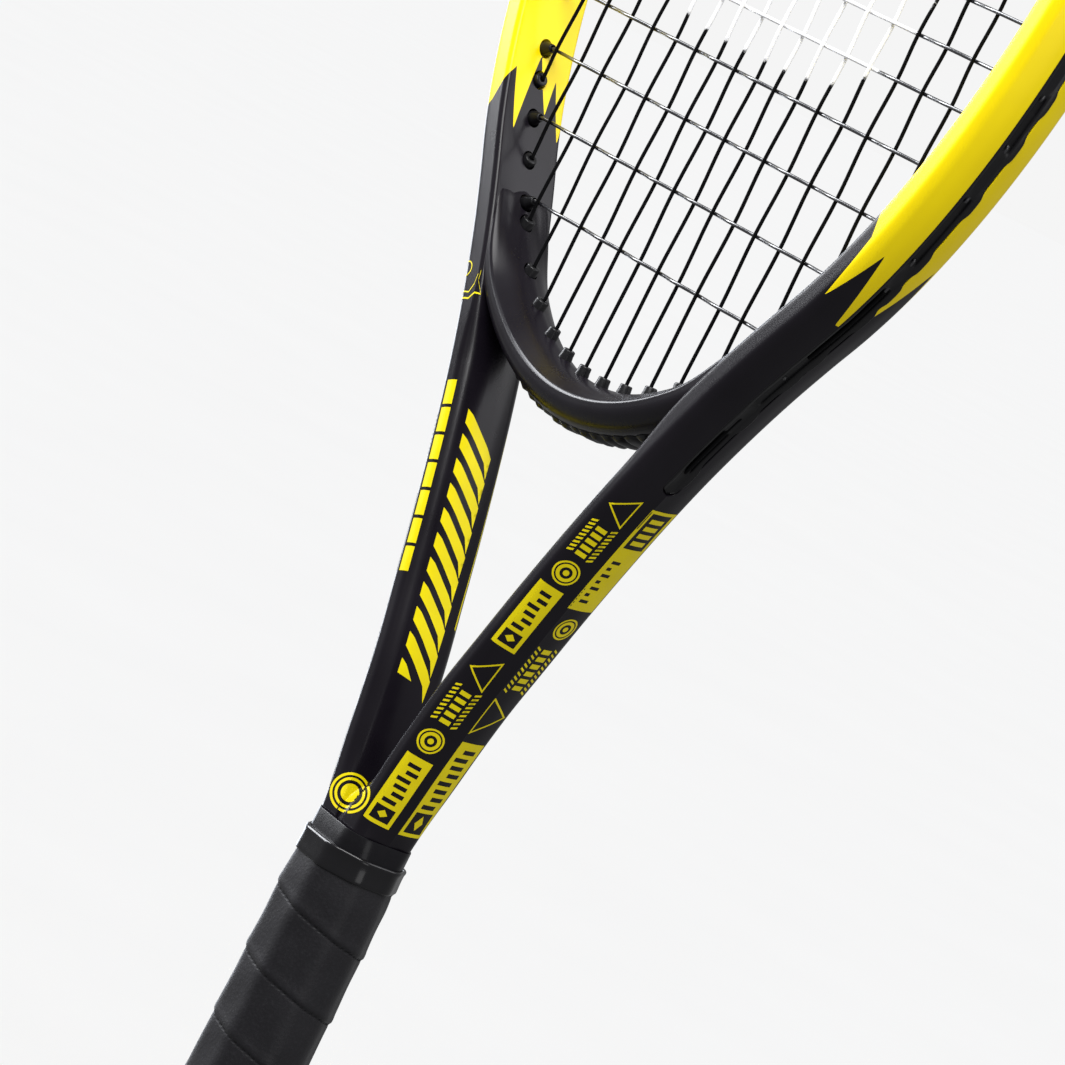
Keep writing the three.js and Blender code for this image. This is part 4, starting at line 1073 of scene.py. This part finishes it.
def crosses():
    path = []
    ns = len(CROSS_Z)
    for row in range(ns):
        j = ns - 1 - row
        d = 1 if row % 2 == 0 else -1
        h = CROSS_HOLES[j]
        z = CROSS_Z[j]
        m = mouth(h, REACH_CROSS + 0.2)
        xs = []
        for k in range(16):
            x = (1 if k >= 8 else -1) * MAIN_X[k - 8 if k >= 8 else 7 - k]
            if abs(x) < m[0] - 1.5 and (z > 420 or abs(x) < h[2][0] - 3):
                xs.append((x, (1 if (k + j) % 2 == 0 else -1) * WEAVE_CROSS))
        if d < 0:
            xs = xs[::-1]
        pts = [(-d * h[3][0], 0, h[3][1]), (-d * h[2][0], 0, h[2][1]), (-d * m[0], 0, z)]
        prev = (-d * m[0], 0.0)
        for x, y in xs + [(d * m[0], 0.0)]:
            for t in np.linspace(0, 1, 9)[1:]:
                w = (1 - math.cos(math.pi * t)) / 2
                pts.append((prev[0] + (x - prev[0]) * t, prev[1] + (y - prev[1]) * w, z))
            prev = (x, y)
        pts += [(d * h[2][0], 0, h[2][1]), (d * h[3][0], 0, h[3][1])]
        path += pts
        if row < ns - 1:
            g = CROSS_HOLES[j - 1]
            path += groove_run(d, s_near(*h[3]), s_near(*g[3]), 5.05 if j <= 15 else 6.0, 0.1)[1:-1]
    path = round_path(path, 0.9)
    V, F = tube(path, R_STR, 12)
    return make("crosses", V, F, sharp=None, mats=[M_CROSS])


# ------------------------------------------------------------ printed marks
def decal(side, loops, step=(1.3, 0.8), lift=0.07):
    """thin printed patch on the tube: loops of (s, w) points, filled by the even-odd rule"""
    pts, edges = [], []
    for L in loops:
        dense = []
        for i in range(len(L)):
            a, b = np.array(L[i], float), np.array(L[(i + 1) % len(L)], float)
            n = max(1, int(max(abs(b[0] - a[0]) / step[0], abs(b[1] - a[1]) / step[1])))
            dense += [a + (b - a) * k / n for k in range(n)]
        b0 = len(pts)
        pts += dense
        edges += [(b0 + k, b0 + (k + 1) % len(dense)) for k in range(len(dense))]
    P = np.array(pts)
    lo, hi = P.min(0), P.max(0)
    grid = []
    for a in np.arange(lo[0] + 0.37 * step[0], hi[0], step[0]):
        for b in np.arange(lo[1] + 0.41 * step[1], hi[1], step[1]):
            grid.append((a, b))
    if grid:
        G = np.array(grid)
        keep = np.ones(len(G), bool)
        for q in P:
            keep &= np.hypot((G[:, 0] - q[0]) / step[0], (G[:, 1] - q[1]) / step[1]) > 0.45
        G = G[keep]
        allp = [Vector((float(a), float(b))) for a, b in P] + [Vector((float(a), float(b))) for a, b in G]
    else:
        allp = [Vector((float(a), float(b))) for a, b in P]
    vs, _, fs, _, _, _ = delaunay_2d_cdt(allp, edges, [], 0, 1e-4)
    A = np.array([[v.x, v.y] for v in vs])

    def inside(p):
        c = False
        for L in loops:
            for i in range(len(L)):
                (x1, y1), (x2, y2) = L[i], L[(i + 1) % len(L)]
                if (y1 > p[1]) != (y2 > p[1]) and p[0] < (x2 - x1) * (p[1] - y1) / (y2 - y1) + x1:
                    c = not c
        return c
    tri = [f for f in fs if inside(A[list(f)].mean(0))]
    V = [surf(side, a, b, lift) for a, b in A]
    return V, tri


def rect(s0, s1, w0, w1, slant=0.0):
    return [(s0, w0), (s0 + slant, w1), (s1 + slant, w1), (s1, w0)]


def rect_in(s0, s1, w0, w1):
    return [(s0, w0), (s0, w1), (s1, w1), (s1, w0)]


def circle(s, w, r, n=36):
    return [(s + r * math.cos(2 * math.pi * k / n), w + r * math.sin(2 * math.pi * k / n)) for k in range(n)]


def inset_tri(p, d):
    p = [np.array(q, float) for q in p]
    c = sum(p) / 3
    return [tuple(c + (q - c) * (1 - d)) for q in p]


def plaque(s0, s1, w0, w1, cells):
    """solid plate with a dark window at its lower end and plain bars along the rest"""
    L = [rect_in(s0, s1, w0, w1)]
    b = 1.25
    win = (s1 - s0) * 0.25
    L.append(rect_in(s0 + b, s0 + win, w0 + b, w1 - b))
    m = (w0 + w1) / 2
    L.append([(s0 + b + 1.2, m), (s0 + (b + win) / 2, m - 1.7), (s0 + win - 1.0, m), (s0 + (b + win) / 2, m + 1.7)])
    a = s0 + win + 1.3
    n = cells
    pitch = (s1 - b - a) / n
    for i in range(n):
        q = a + i * pitch
        t = (0.0, 1.5, 0.6)[i % 3]
        L.append(rect_in(q, q + pitch * 0.52, w0 + b + 0.5 + t, w1 - b - 0.5 - (1.5 - t) * 0.6))
    return L


def prints():
    V, F = [], []

    def put(side, loops, **kw):
        v, f = decal(side, loops, **kw)
        b = len(V)
        V.extend(v)
        F.extend([tuple(b + i for i in t) for t in f])

    for side in (1, -1):
        # front column on the outer side
        put(side, plaque(198.5, 222.8, -12.0, -3.1, 6))
        for s, w in ((229.0, -8.0), (296.3, -7.7)):
            put(side, [circle(s, w, 4.1), circle(s, w, 3.5), circle(s, w, 3.0), circle(s, w, 1.9), circle(s, w, 0.95)], step=(0.8, 0.7))
        put(side, plaque(266.0, 290.3, -12.4, -4.1, 6))
        for s0, s1 in ((235.2, 248.8), (302.4, 315.0)):
            n = 9
            for i in range(n):
                q = s0 + (s1 - s0 - 0.9) * i / (n - 1)
                put(side, [rect(q, q + 0.75, -12.3, -10.6, 1.0)], step=(0.8, 0.8))
                put(side, [rect(q, q + 0.75, -5.4, -3.7, 1.0)], step=(0.8, 0.8))
            for i in range(5):
                q = s0 + 0.6 + (s1 - s0 - 2.9) * i / 4
                put(side, [rect_in(q, q + 1.5, -9.7, -6.3)], step=(0.8, 0.8))
        for tri in ([(255.6, -12.4), (262.0, -4.6), (250.2, -4.3)], [(321.9, -11.8), (328.2, -4.1), (316.8, -4.0)]):
            put(side, [tri, inset_tri(tri, 0.17)], step=(0.8, 0.7))
        # back column
        put(side, plaque(198.5, 233.5, 0.3, 10.3, 8))
        tri = [(236.4, -0.4 + 0.6), (251.0, 0.2), (244.5, 10.0)]
        put(side, [tri, inset_tri(tri, 0.15)], step=(0.8, 0.7))
        s0, s1 = 254.5, 272.0
        for i in range(11):
            q = s0 + (s1 - s0 - 0.9) * i / 10
            put(side, [rect(q, q + 0.75, 0.6, 2.4, -1.0)], step=(0.8, 0.8))
            put(side, [rect(q, q + 0.75, 8.0, 9.8, -1.0)], step=(0.8, 0.8))
        for i in range(6):
            q = s0 + 0.6 + (s1 - s0 - 3.2) * i / 5
            put(side, [rect_in(q, q + 1.7, 3.4, 7.0)], step=(0.8, 0.8))
        s, w = 279.5, 5.3
        put(side, [circle(s, w, 4.1), circle(s, w, 3.5), circle(s, w, 3.0), circle(s, w, 1.9), circle(s, w, 0.95)], step=(0.8, 0.7))
        L = [rect_in(287.0, 327.6, -0.3, 10.5)]
        for i in range(7):
            q = 290.0 + i * 2.6
            L.append(rect_in(q, q + 1.2, 1.6, 3.4 if i % 2 else 5.0))
        L.append(rect_in(312.0, 326.4, 1.0, 9.2))
        for i in range(4):
            q = 313.6 + i * 3.0
            L.append(rect_in(q, q + 1.7, 2.4, 7.8))
        put(side, L)
        if side > 0:
            continue
        # plain blocks down the inner front bevel
        q = 266.0
        while q < 318.0:
            put(side, [rect_in(q, q + 7.6, -18.2, -14.6)], step=(1.3, 0.6))
            q += 8.65
        # slanted bars across the inner side
        per = outline(260.0)[2]
        for i in range(11):
            q = 237.2 + 7.63 * i
            a, b = -23.6, -(per - 25.2)
            lo = [(q, a), (q + 4.3, a), (q + 3.0, a - 2.0), (q - 4.6, b + 2.2), (q - 7.4, b), (q - 14.0, b + 0.3), (q - 9.4, b + 2.2), (q - 4.6, a - 5.0)]
            if i == 0:
                lo = [(q - 0.5, a), (q + 4.0, a), (q + 2.6, a - 2.0), (q - 1.6, a - 5.4)]
            put(side, [lo], step=(1.1, 0.8))
        # hairline down the inner back edge
        put(side, [[(254.0, 20.6), (254.6, 21.4), (300.0, 20.2), (316.0, 19.6), (316.0, 19.1), (300.0, 19.7)]], step=(1.4, 0.5))
        # jagged hairline round the arm
        z = [(351.5, -13.6), (351.9, -16.0), (351.2, -19.0), (352.6, -21.5), (352.2, -23.5), (356.5, -22.2), (359.6, -22.6)]
        put(side, [[(a - 0.25, b) for a, b in z] + [(a + 0.3, b + 0.05) for a, b in reversed(z)]], step=(0.9, 0.5))
        z = [(353.6, -13.6), (354.0, -16.0), (353.3, -18.6), (355.6, -20.8), (358.6, -21.8)]
        put(side, [[(a - 0.2, b) for a, b in z] + [(a + 0.25, b + 0.05) for a, b in reversed(z)]], step=(0.9, 0.5))
        put(side, [circle(361.5, -15.8, 2.5), circle(361.5, -15.8, 2.1)], step=(0.8, 0.5))
    ob = make("frame_prints", V, F, sharp=None, mats=[M_INK], turn=False)
    return ob


def shaft_roundel(onto):
    """plain concentric rings on the left leg where it meets the valley, laid along one straight line of sight"""
    from mathutils.bvhtree import BVHTree
    tree = BVHTree.FromObject(onto, bpy.context.evaluated_depsgraph_get())
    ray = unit((0.8096, -0.567, 0.152))
    up = unit(np.array([0, 0, 1.0]) - ray * ray[2])
    across = np.cross(up, ray)
    mid = np.array([-1.3, -10.0, 205.4]) + ray * 30
    V, F = [], []
    for r0, r1 in ((5.9, 5.15), (4.5, 3.7), (2.7, 0.0)):
        rows = max(3, int((r0 - r1) / 0.35) + 1)
        grid = []
        for r in np.linspace(r0, max(r1, 0.02), rows):
            for i in range(72):
                a = 2 * math.pi * i / 72
                p = mid + across * (r * math.cos(a)) + up * (r * 1.02 * math.sin(a))
                hit, nrm, _, _ = tree.ray_cast(Vector(p * 0.001), Vector(-ray), 0.08)
                grid.append(None if hit is None else np.array(hit) * 1000 + np.array(nrm) * 0.07)
        base = len(V)
        V += [g if g is not None else mid for g in grid]
        for f in grid_faces(rows, 72):
            q = [grid[i] for i in f]
            if all(c is not None for c in q) and max(np.linalg.norm(q[i] - q[i - 1]) for i in range(4)) < 2.2:
                F.append(tuple(base + i for i in f))
    used = sorted({i for f in F for i in f})
    slot = {i: n for n, i in enumerate(used)}
    return [V[i] for i in used], [tuple(slot[i] for i in f) for f in F]


# ------------------------------------------------------------ handle
def oct_ring(a, b, c, r, n_corner=6, n_edge=5):
    """rounded octagon, half widths a (x) and b (y), corner cut c; about 88 points, anticlockwise from +x"""
    p = [(a, -(b - c)), (a, b - c), (a - c, b), (-(a - c), b), (-a, b - c), (-a, -(b - c)), (-(a - c), -b), (a - c, -b)]
    out = []
    P = [np.array(q, float) for q in p]
    for i in range(8):
        u, v, w = P[i - 1], P[i], P[(i + 1) % 8]
        la, lc = np.linalg.norm(u - v), np.linalg.norm(w - v)
        k = min(r, 0.45 * la, 0.45 * lc)
        pa, pc = v + (u - v) / la * k, v + (w - v) / lc * k
        for j in range(n_corner):
            t = j / (n_corner - 1)
            out.append((1 - t) ** 2 * pa + 2 * t * (1 - t) * v + t * t * pc)
        nx = P[(i + 1) % 8]
        ny = P[(i + 2) % 8]
        kn = min(r, 0.45 * np.linalg.norm(v - nx), 0.45 * np.linalg.norm(ny - nx))
        pn = nx + (v - nx) / np.linalg.norm(v - nx) * kn
        for j in range(1, n_edge + 1):
            out.append(pc + (pn - pc) * j / (n_edge + 1))
    return np.array(out)


def off_ring(off, r=3.0, nc=6, ne=5):
    return oct_ring(14.8 + off, 13.3 + off, 8.4 + 0.586 * off, r, nc, ne)


def wrap_off(z):
    """outer face of the wrap, as an offset from the pallet"""
    return 1.95 + 2.15 * (1 - float(smooth(z, 7.0, 34.0))) - 0.55 * float(smooth(z, 176, 187))


def grip():
    base = off_ring(0.0, 3.2, 10, 14)
    N = len(base)
    dirs = base / np.linalg.norm(base, axis=1)[:, None]
    ang = np.degrees(np.arctan2(base[:, 1], base[:, 0]))
    zs = np.concatenate([np.arange(7.6, 187.01, 0.42)])
    V = []
    rows = 0
    rng = np.random.default_rng(7)
    wob = rng.normal(size=(9,)) * 0.25
    inner = []
    for z in zs:
        o = off_ring(wrap_off(z), 3.4, 10, 14)
        nrm = np.roll(o, -1, axis=0) - np.roll(o, 1, axis=0)
        nrm = np.stack([nrm[:, 1], -nrm[:, 0]], 1)
        nrm /= np.linalg.norm(nrm, axis=1)[:, None]
        f = (z - 167.0 + 21.3 * (ang + 35.0) / 360.0 + 0.35 * np.sin(np.radians(ang * 2 + 40))) / 21.3
        q = f - np.floor(f)
        mm = q * 21.3
        up = np.exp(-(mm / 0.55) ** 2) + np.exp(-((21.3 - mm) / 0.28) ** 2)
        d = 0.34 * np.exp(-mm / 5.0) - 0.16 * np.exp(-((21.3 - mm) / 4.0)) - 0.50 * up
        d += 0.10 * np.exp(-((mm - 2.0) / 1.1) ** 2)
        # light unevenness of a hand-laid strip
        d += 0.07 * np.sin(np.radians(ang) * 3 + z * 0.21) * np.sin(z * 0.093 + 1.0) + 0.05 * np.sin(np.radians(ang) * 5 - z * 0.37)
        ends = min(1.0, (z - 7.6) / 1.2, (187.0 - z) / 1.2)
        roll = -0.9 * (1 - math.sqrt(max(0.0, 1 - (1 - ends) ** 2)))
        p = o + nrm * (d + roll)[:, None]
        V.append(np.concatenate([p, np.full((N, 1), z)], 1))
        rows += 1
    # inner wall
    for z in (187.0, 180.0, 30.0, 7.6):
        p = off_ring(max(0.35, wrap_off(z) - 1.6) if z < 40 else 0.35, 3.0, 10, 14)
        V.append(np.concatenate([p, np.full((N, 1), z)], 1))
        rows += 1
    return make("grip_spiral", np.vstack(V), grid_faces(rows, N, close_rows=True), sharp=None, mats=[M_LEATHER])


def oct_loft(name, rows, mat, sharp=35, nc=8, ne=8, r=3.0):
    """closed sleeve: rows of (z, a, b, c) round the profile, last joins first"""
    V = []
    for row in rows:
        z, a, b, c = row[:4]
        p = oct_ring(a, b, c, row[4] if len(row) > 4 else r, nc, ne)
        V.append(np.concatenate([p, np.full((len(p), 1), z)], 1))
    n = len(V[0])
    return make(name, np.vstack(V), grid_faces(len(rows), n, close_rows=True), sharp=sharp, mats=[mat])


def fill(rows, step):
    """subdivides a profile so that it curves"""
    out = []
    for a, b in zip(rows[:-1], rows[1:]):
        n = max(1, int(math.dist(a[:2], b[:2]) / step))
        out += [tuple(x + (y - x) * k / n for x, y in zip(a, b)) for k in range(n)]
    return out + [rows[-1]]


def tape():
    rows = [(178.2, 16.00, 14.50, 8.85), (178.4, 16.14, 14.64, 8.95), (181.0, 15.95, 14.45, 8.75), (185.0, 15.60, 14.1, 8.35), (188.0, 15.10, 13.3, 6.9), (192.0, 14.75, 12.6, 5.8),
            (196.9, 14.40, 12.1, 4.8), (197.2, 14.30, 12.0, 4.75), (197.2, 14.10, 11.8, 4.65), (192.0, 14.40, 12.3, 5.6), (188.0, 14.75, 12.9, 6.6), (185.0, 15.2, 13.7, 8.2), (178.2, 15.7, 14.2, 8.6)]
    return oct_loft("tape_band", rows, M_TAPE, nc=8, ne=10, r=2.6)


def collar():
    rows = [(183.7, 16.30, 14.80, 8.85), (183.85, 16.52, 15.02, 8.95), (184.3, 16.62, 15.10, 9.0), (185.2, 16.58, 15.04, 8.95), (187.5, 16.44, 14.84, 8.7), (189.8, 16.40, 14.72, 8.5),
            (190.3, 16.50, 14.78, 8.4), (190.9, 16.48, 14.70, 8.2), (191.3, 16.20, 14.36, 7.9), (191.4, 15.80, 13.90, 7.4), (191.3, 15.3, 13.3, 6.9), (191.0, 15.05, 12.9, 6.4), (187.8, 15.2, 13.4, 7.0), (184.8, 15.7, 14.2, 8.5)]
    return oct_loft("collar_ring", rows, M_COLLAR, nc=8, ne=10, r=2.8, sharp=50)


def butt():
    """flared butt cap with a round recess in its end"""
    N = None
    V = []
    outer = [(20.0, 14.95, 13.45, 8.4), (20.0, 15.3, 13.8, 8.6), (12.0, 15.9, 14.4, 8.9), (8.2, 17.0, 15.5, 9.4), (7.3, 17.6, 16.1, 9.6), (7.1, 18.1, 16.6, 9.9), (6.6, 18.45, 16.95, 10.1), (5.6, 18.6, 17.1, 10.2),
             (3.0, 18.6, 17.1, 10.2), (1.6, 18.5, 17.0, 10.15), (0.7, 18.15, 16.65, 10.0), (0.2, 17.6, 16.1, 9.8), (0.0, 16.9, 15.4, 9.5)]
    for z, a, b, c in outer:
        p = oct_ring(a, b, c, 3.6, 8, 8)
        V.append(np.concatenate([p, np.full((len(p), 1), z)], 1))
    ang = np.arctan2(V[-1][:, 1], V[-1][:, 0])
    for z, r in ((0.0, 12.1), (0.15, 11.7), (0.5, 11.5), (1.55, 11.45), (1.6, 11.0), (1.6, 4.0), (1.6, 0.02)):
        V.append(np.stack([r * np.cos(ang), r * np.sin(ang), np.full(len(ang), z)], 1))
    for z, r in ((3.4, 0.02), (3.4, 12.0)):
        V.append(np.stack([r * np.cos(ang), r * np.sin(ang), np.full(len(ang), z)], 1))
    p = oct_ring(14.85, 13.35, 8.4, 3.0, 8, 8)
    V.append(np.concatenate([p, np.full((len(p), 1), 3.6)], 1))
    n = len(V[0])
    return make("butt_cap_shell", np.vstack(V), grid_faces(len(V), n, close_rows=True), sharp=35, mats=[M_CAP])


def badge():
    prof = [(1.5, 0.02), (1.5, 10.9), (0.6, 11.0), (0.3, 10.85), (0.2, 10.5), (0.2, 9.0), (0.5, 8.8), (0.5, 7.4), (0.2, 7.2), (0.2, 4.4), (0.5, 4.2), (0.5, 2.6), (0.25, 2.4), (0.2, 0.02)]
    V, F = lathe(prof, np.array([0, 0, 0.0]), np.array([0, 0, 1.0]), 64)
    return make("badge_disc", V, F, sharp=30, mats=[M_BADGE])


# ------------------------------------------------------------ build
pieces = []


def keep(ob, slot, *replaced):
    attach(ob, "root")
    if replaced:
        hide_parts(*replaced)
    pieces.append(ob)
    return ob


# camera first: the photograph's viewing angle
cam_data = bpy.data.cameras.new("camera")
cam = bpy.data.objects.new("camera", cam_data)
COLL.objects.link(cam)
cam_data.sensor_width = 36.0
cam_data.sensor_fit = "HORIZONTAL"
cam_data.lens = 185.916
cam_data.clip_end = 200
R0 = Vector((0.4835773589152152, 0.7522138162821725, 0.44757939244205014))
R1 = Vector((0.3303208466734054, 0.3167041711433533, -0.8891493722841881))
R2 = Vector((-0.8105807030749925, 0.5778173089953356, -0.09532093803482544))
cam.matrix_world = Matrix(((R0.x, -R1.x, -R2.x, 1.301494), (R0.y, -R1.y, -R2.y, -0.922213), (R0.z, -R1.z, -R2.z, 0.449998), (0, 0, 0, 1)))
SCENE.camera = cam

tube_ob = keep(frame_tube(), "frame_paint", "frame_main_tube")
keep(yoke(), "bridge_paint", "throat_bridge")
keep(hoop_strip(1), "strip_plastic", "grommet_strip_right")
keep(hoop_strip(-1), "strip_plastic", "grommet_strip_left")
keep(yoke_strip(), "strip_plastic", "grommet_strip_throat")
keep(head_guard(), "guard_plastic", "head_bumper_guard")
keep(mains(), "string_main", "main_string")
keep(crosses(), "string_cross", "cross_string")
keep(grip(), "grip_leather", "grip_wrap")
keep(tape(), "tape_vinyl", "finishing_tape")
keep(collar(), "collar_rubber", "rubber_collar")
keep(butt(), "cap_plastic", "butt_cap")
keep(badge(), "badge_plastic", "butt_badge")
keep(prints(), "frame_paint")
rv, rf = shaft_roundel(tube_ob)
keep(make("shaft_roundel", rv, rf, sharp=None, mats=[M_INK], turn=False), "frame_paint")

for name, mat in (("handle_pallet", M_FOAM), ("butt_staple_front", M_STEEL), ("butt_staple_back", M_STEEL)):
    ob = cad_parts[name]
    if not ob.material_slots:
        ob.data.materials.append(mat)
    for s in ob.material_slots:
        s.material = mat

# ------------------------------------------------------------ stage and light
fm, fnt, fbs = material("pale_floor")
fv = coords(fnt, 1.0)
fn_ = noise(fnt, fv, 6.0, 2)
fnt.links.new(mix_rgb(fnt, remap(fnt, fn_, 0.3, 0.7, 0, 1), (0.905, 0.905, 0.905), (0.915, 0.915, 0.915)), fbs.inputs["Base Color"])
fbs.inputs["Roughness"].default_value = 0.9
fbs.inputs["Specular IOR Level"].default_value = 0.0
n = 24
fl = []
ff = []
for i in range(n + 1):
    for j in range(n + 1):
        fl.append((-60000 + 120000 * i / n, -60000 + 120000 * j / n, -0.15))
for i in range(n):
    for j in range(n):
        a = i * (n + 1) + j
        ff.append((a, a + 1, a + n + 2, a + n + 1))
floor = make("floor", fl, ff, sharp=None, mats=[fm])

world = bpy.data.worlds.new("studio")
SCENE.world = world
world.use_nodes = True
wn = world.node_tree
bg = wn.nodes.get("Background") or wn.nodes.new("ShaderNodeBackground")
bg.inputs["Color"].default_value = (0.985, 0.99, 1.0, 1)
bg.inputs["Strength"].default_value = 0.30
back = wn.nodes.new("ShaderNodeBackground")
back.inputs["Color"].default_value = (0.913, 0.913, 0.913, 1)
seen = wn.nodes.new("ShaderNodeLightPath")
both = wn.nodes.new("ShaderNodeMixShader")
wn.links.new(seen.outputs["Is Camera Ray"], both.inputs[0])
wn.links.new(bg.outputs[0], both.inputs[1])
wn.links.new(back.outputs[0], both.inputs[2])
wn.links.new((wn.nodes.get("World Output") or wn.nodes.new("ShaderNodeOutputWorld")).inputs[0], both.outputs[0])

lit = bpy.data.collections.new("lit_pieces")
for ob in pieces:
    lit.objects.link(ob)


def area(name, direction, dist, size, power, colour=(1, 1, 1), target=(0, 0, 0.36), size_y=None):
    L = bpy.data.lights.new(name, "AREA")
    L.shape = "RECTANGLE"
    L.size = size
    L.size_y = size_y or size
    L.energy = power
    L.color = colour
    ob = bpy.data.objects.new(name, L)
    COLL.objects.link(ob)
    d = Vector(direction).normalized()
    ob.location = Vector(target) + d * dist
    ob.rotation_euler = (-d).to_track_quat("-Z", "Y").to_euler()
    ob.light_linking.receiver_collection = lit
    return ob


area("key", (0.35, -0.55, 0.80), 1.5, 0.9, 30)
area("rim_left", (-0.81, -0.43, 0.39), 1.6, 0.45, 36, (0.94, 0.96, 1.0), size_y=1.3)
area("rim_back", (-0.97, 0.20, -0.12), 1.6, 0.8, 9, (0.84, 0.90, 1.0))
area("sheen", (0.39, 0.57, 0.68), 1.6, 1.0, 9, (0.97, 0.97, 1.0))
area("fill_right", (0.95, -0.05, -0.05), 2.0, 1.1, 6.5)
floor.visible_diffuse = False
floor.visible_glossy = False
floor_only = bpy.data.collections.new("floor_only")
floor_only.objects.link(floor)
sun = bpy.data.lights.new("floor_sun", "SUN")
sun.energy = 2.25
sun.angle = math.radians(25)
sun_ob = bpy.data.objects.new("floor_sun", sun)
COLL.objects.link(sun_ob)
sun_ob.light_linking.receiver_collection = floor_only
SCENE.view_settings.view_transform = "Standard"
SCENE.view_settings.look = "None"
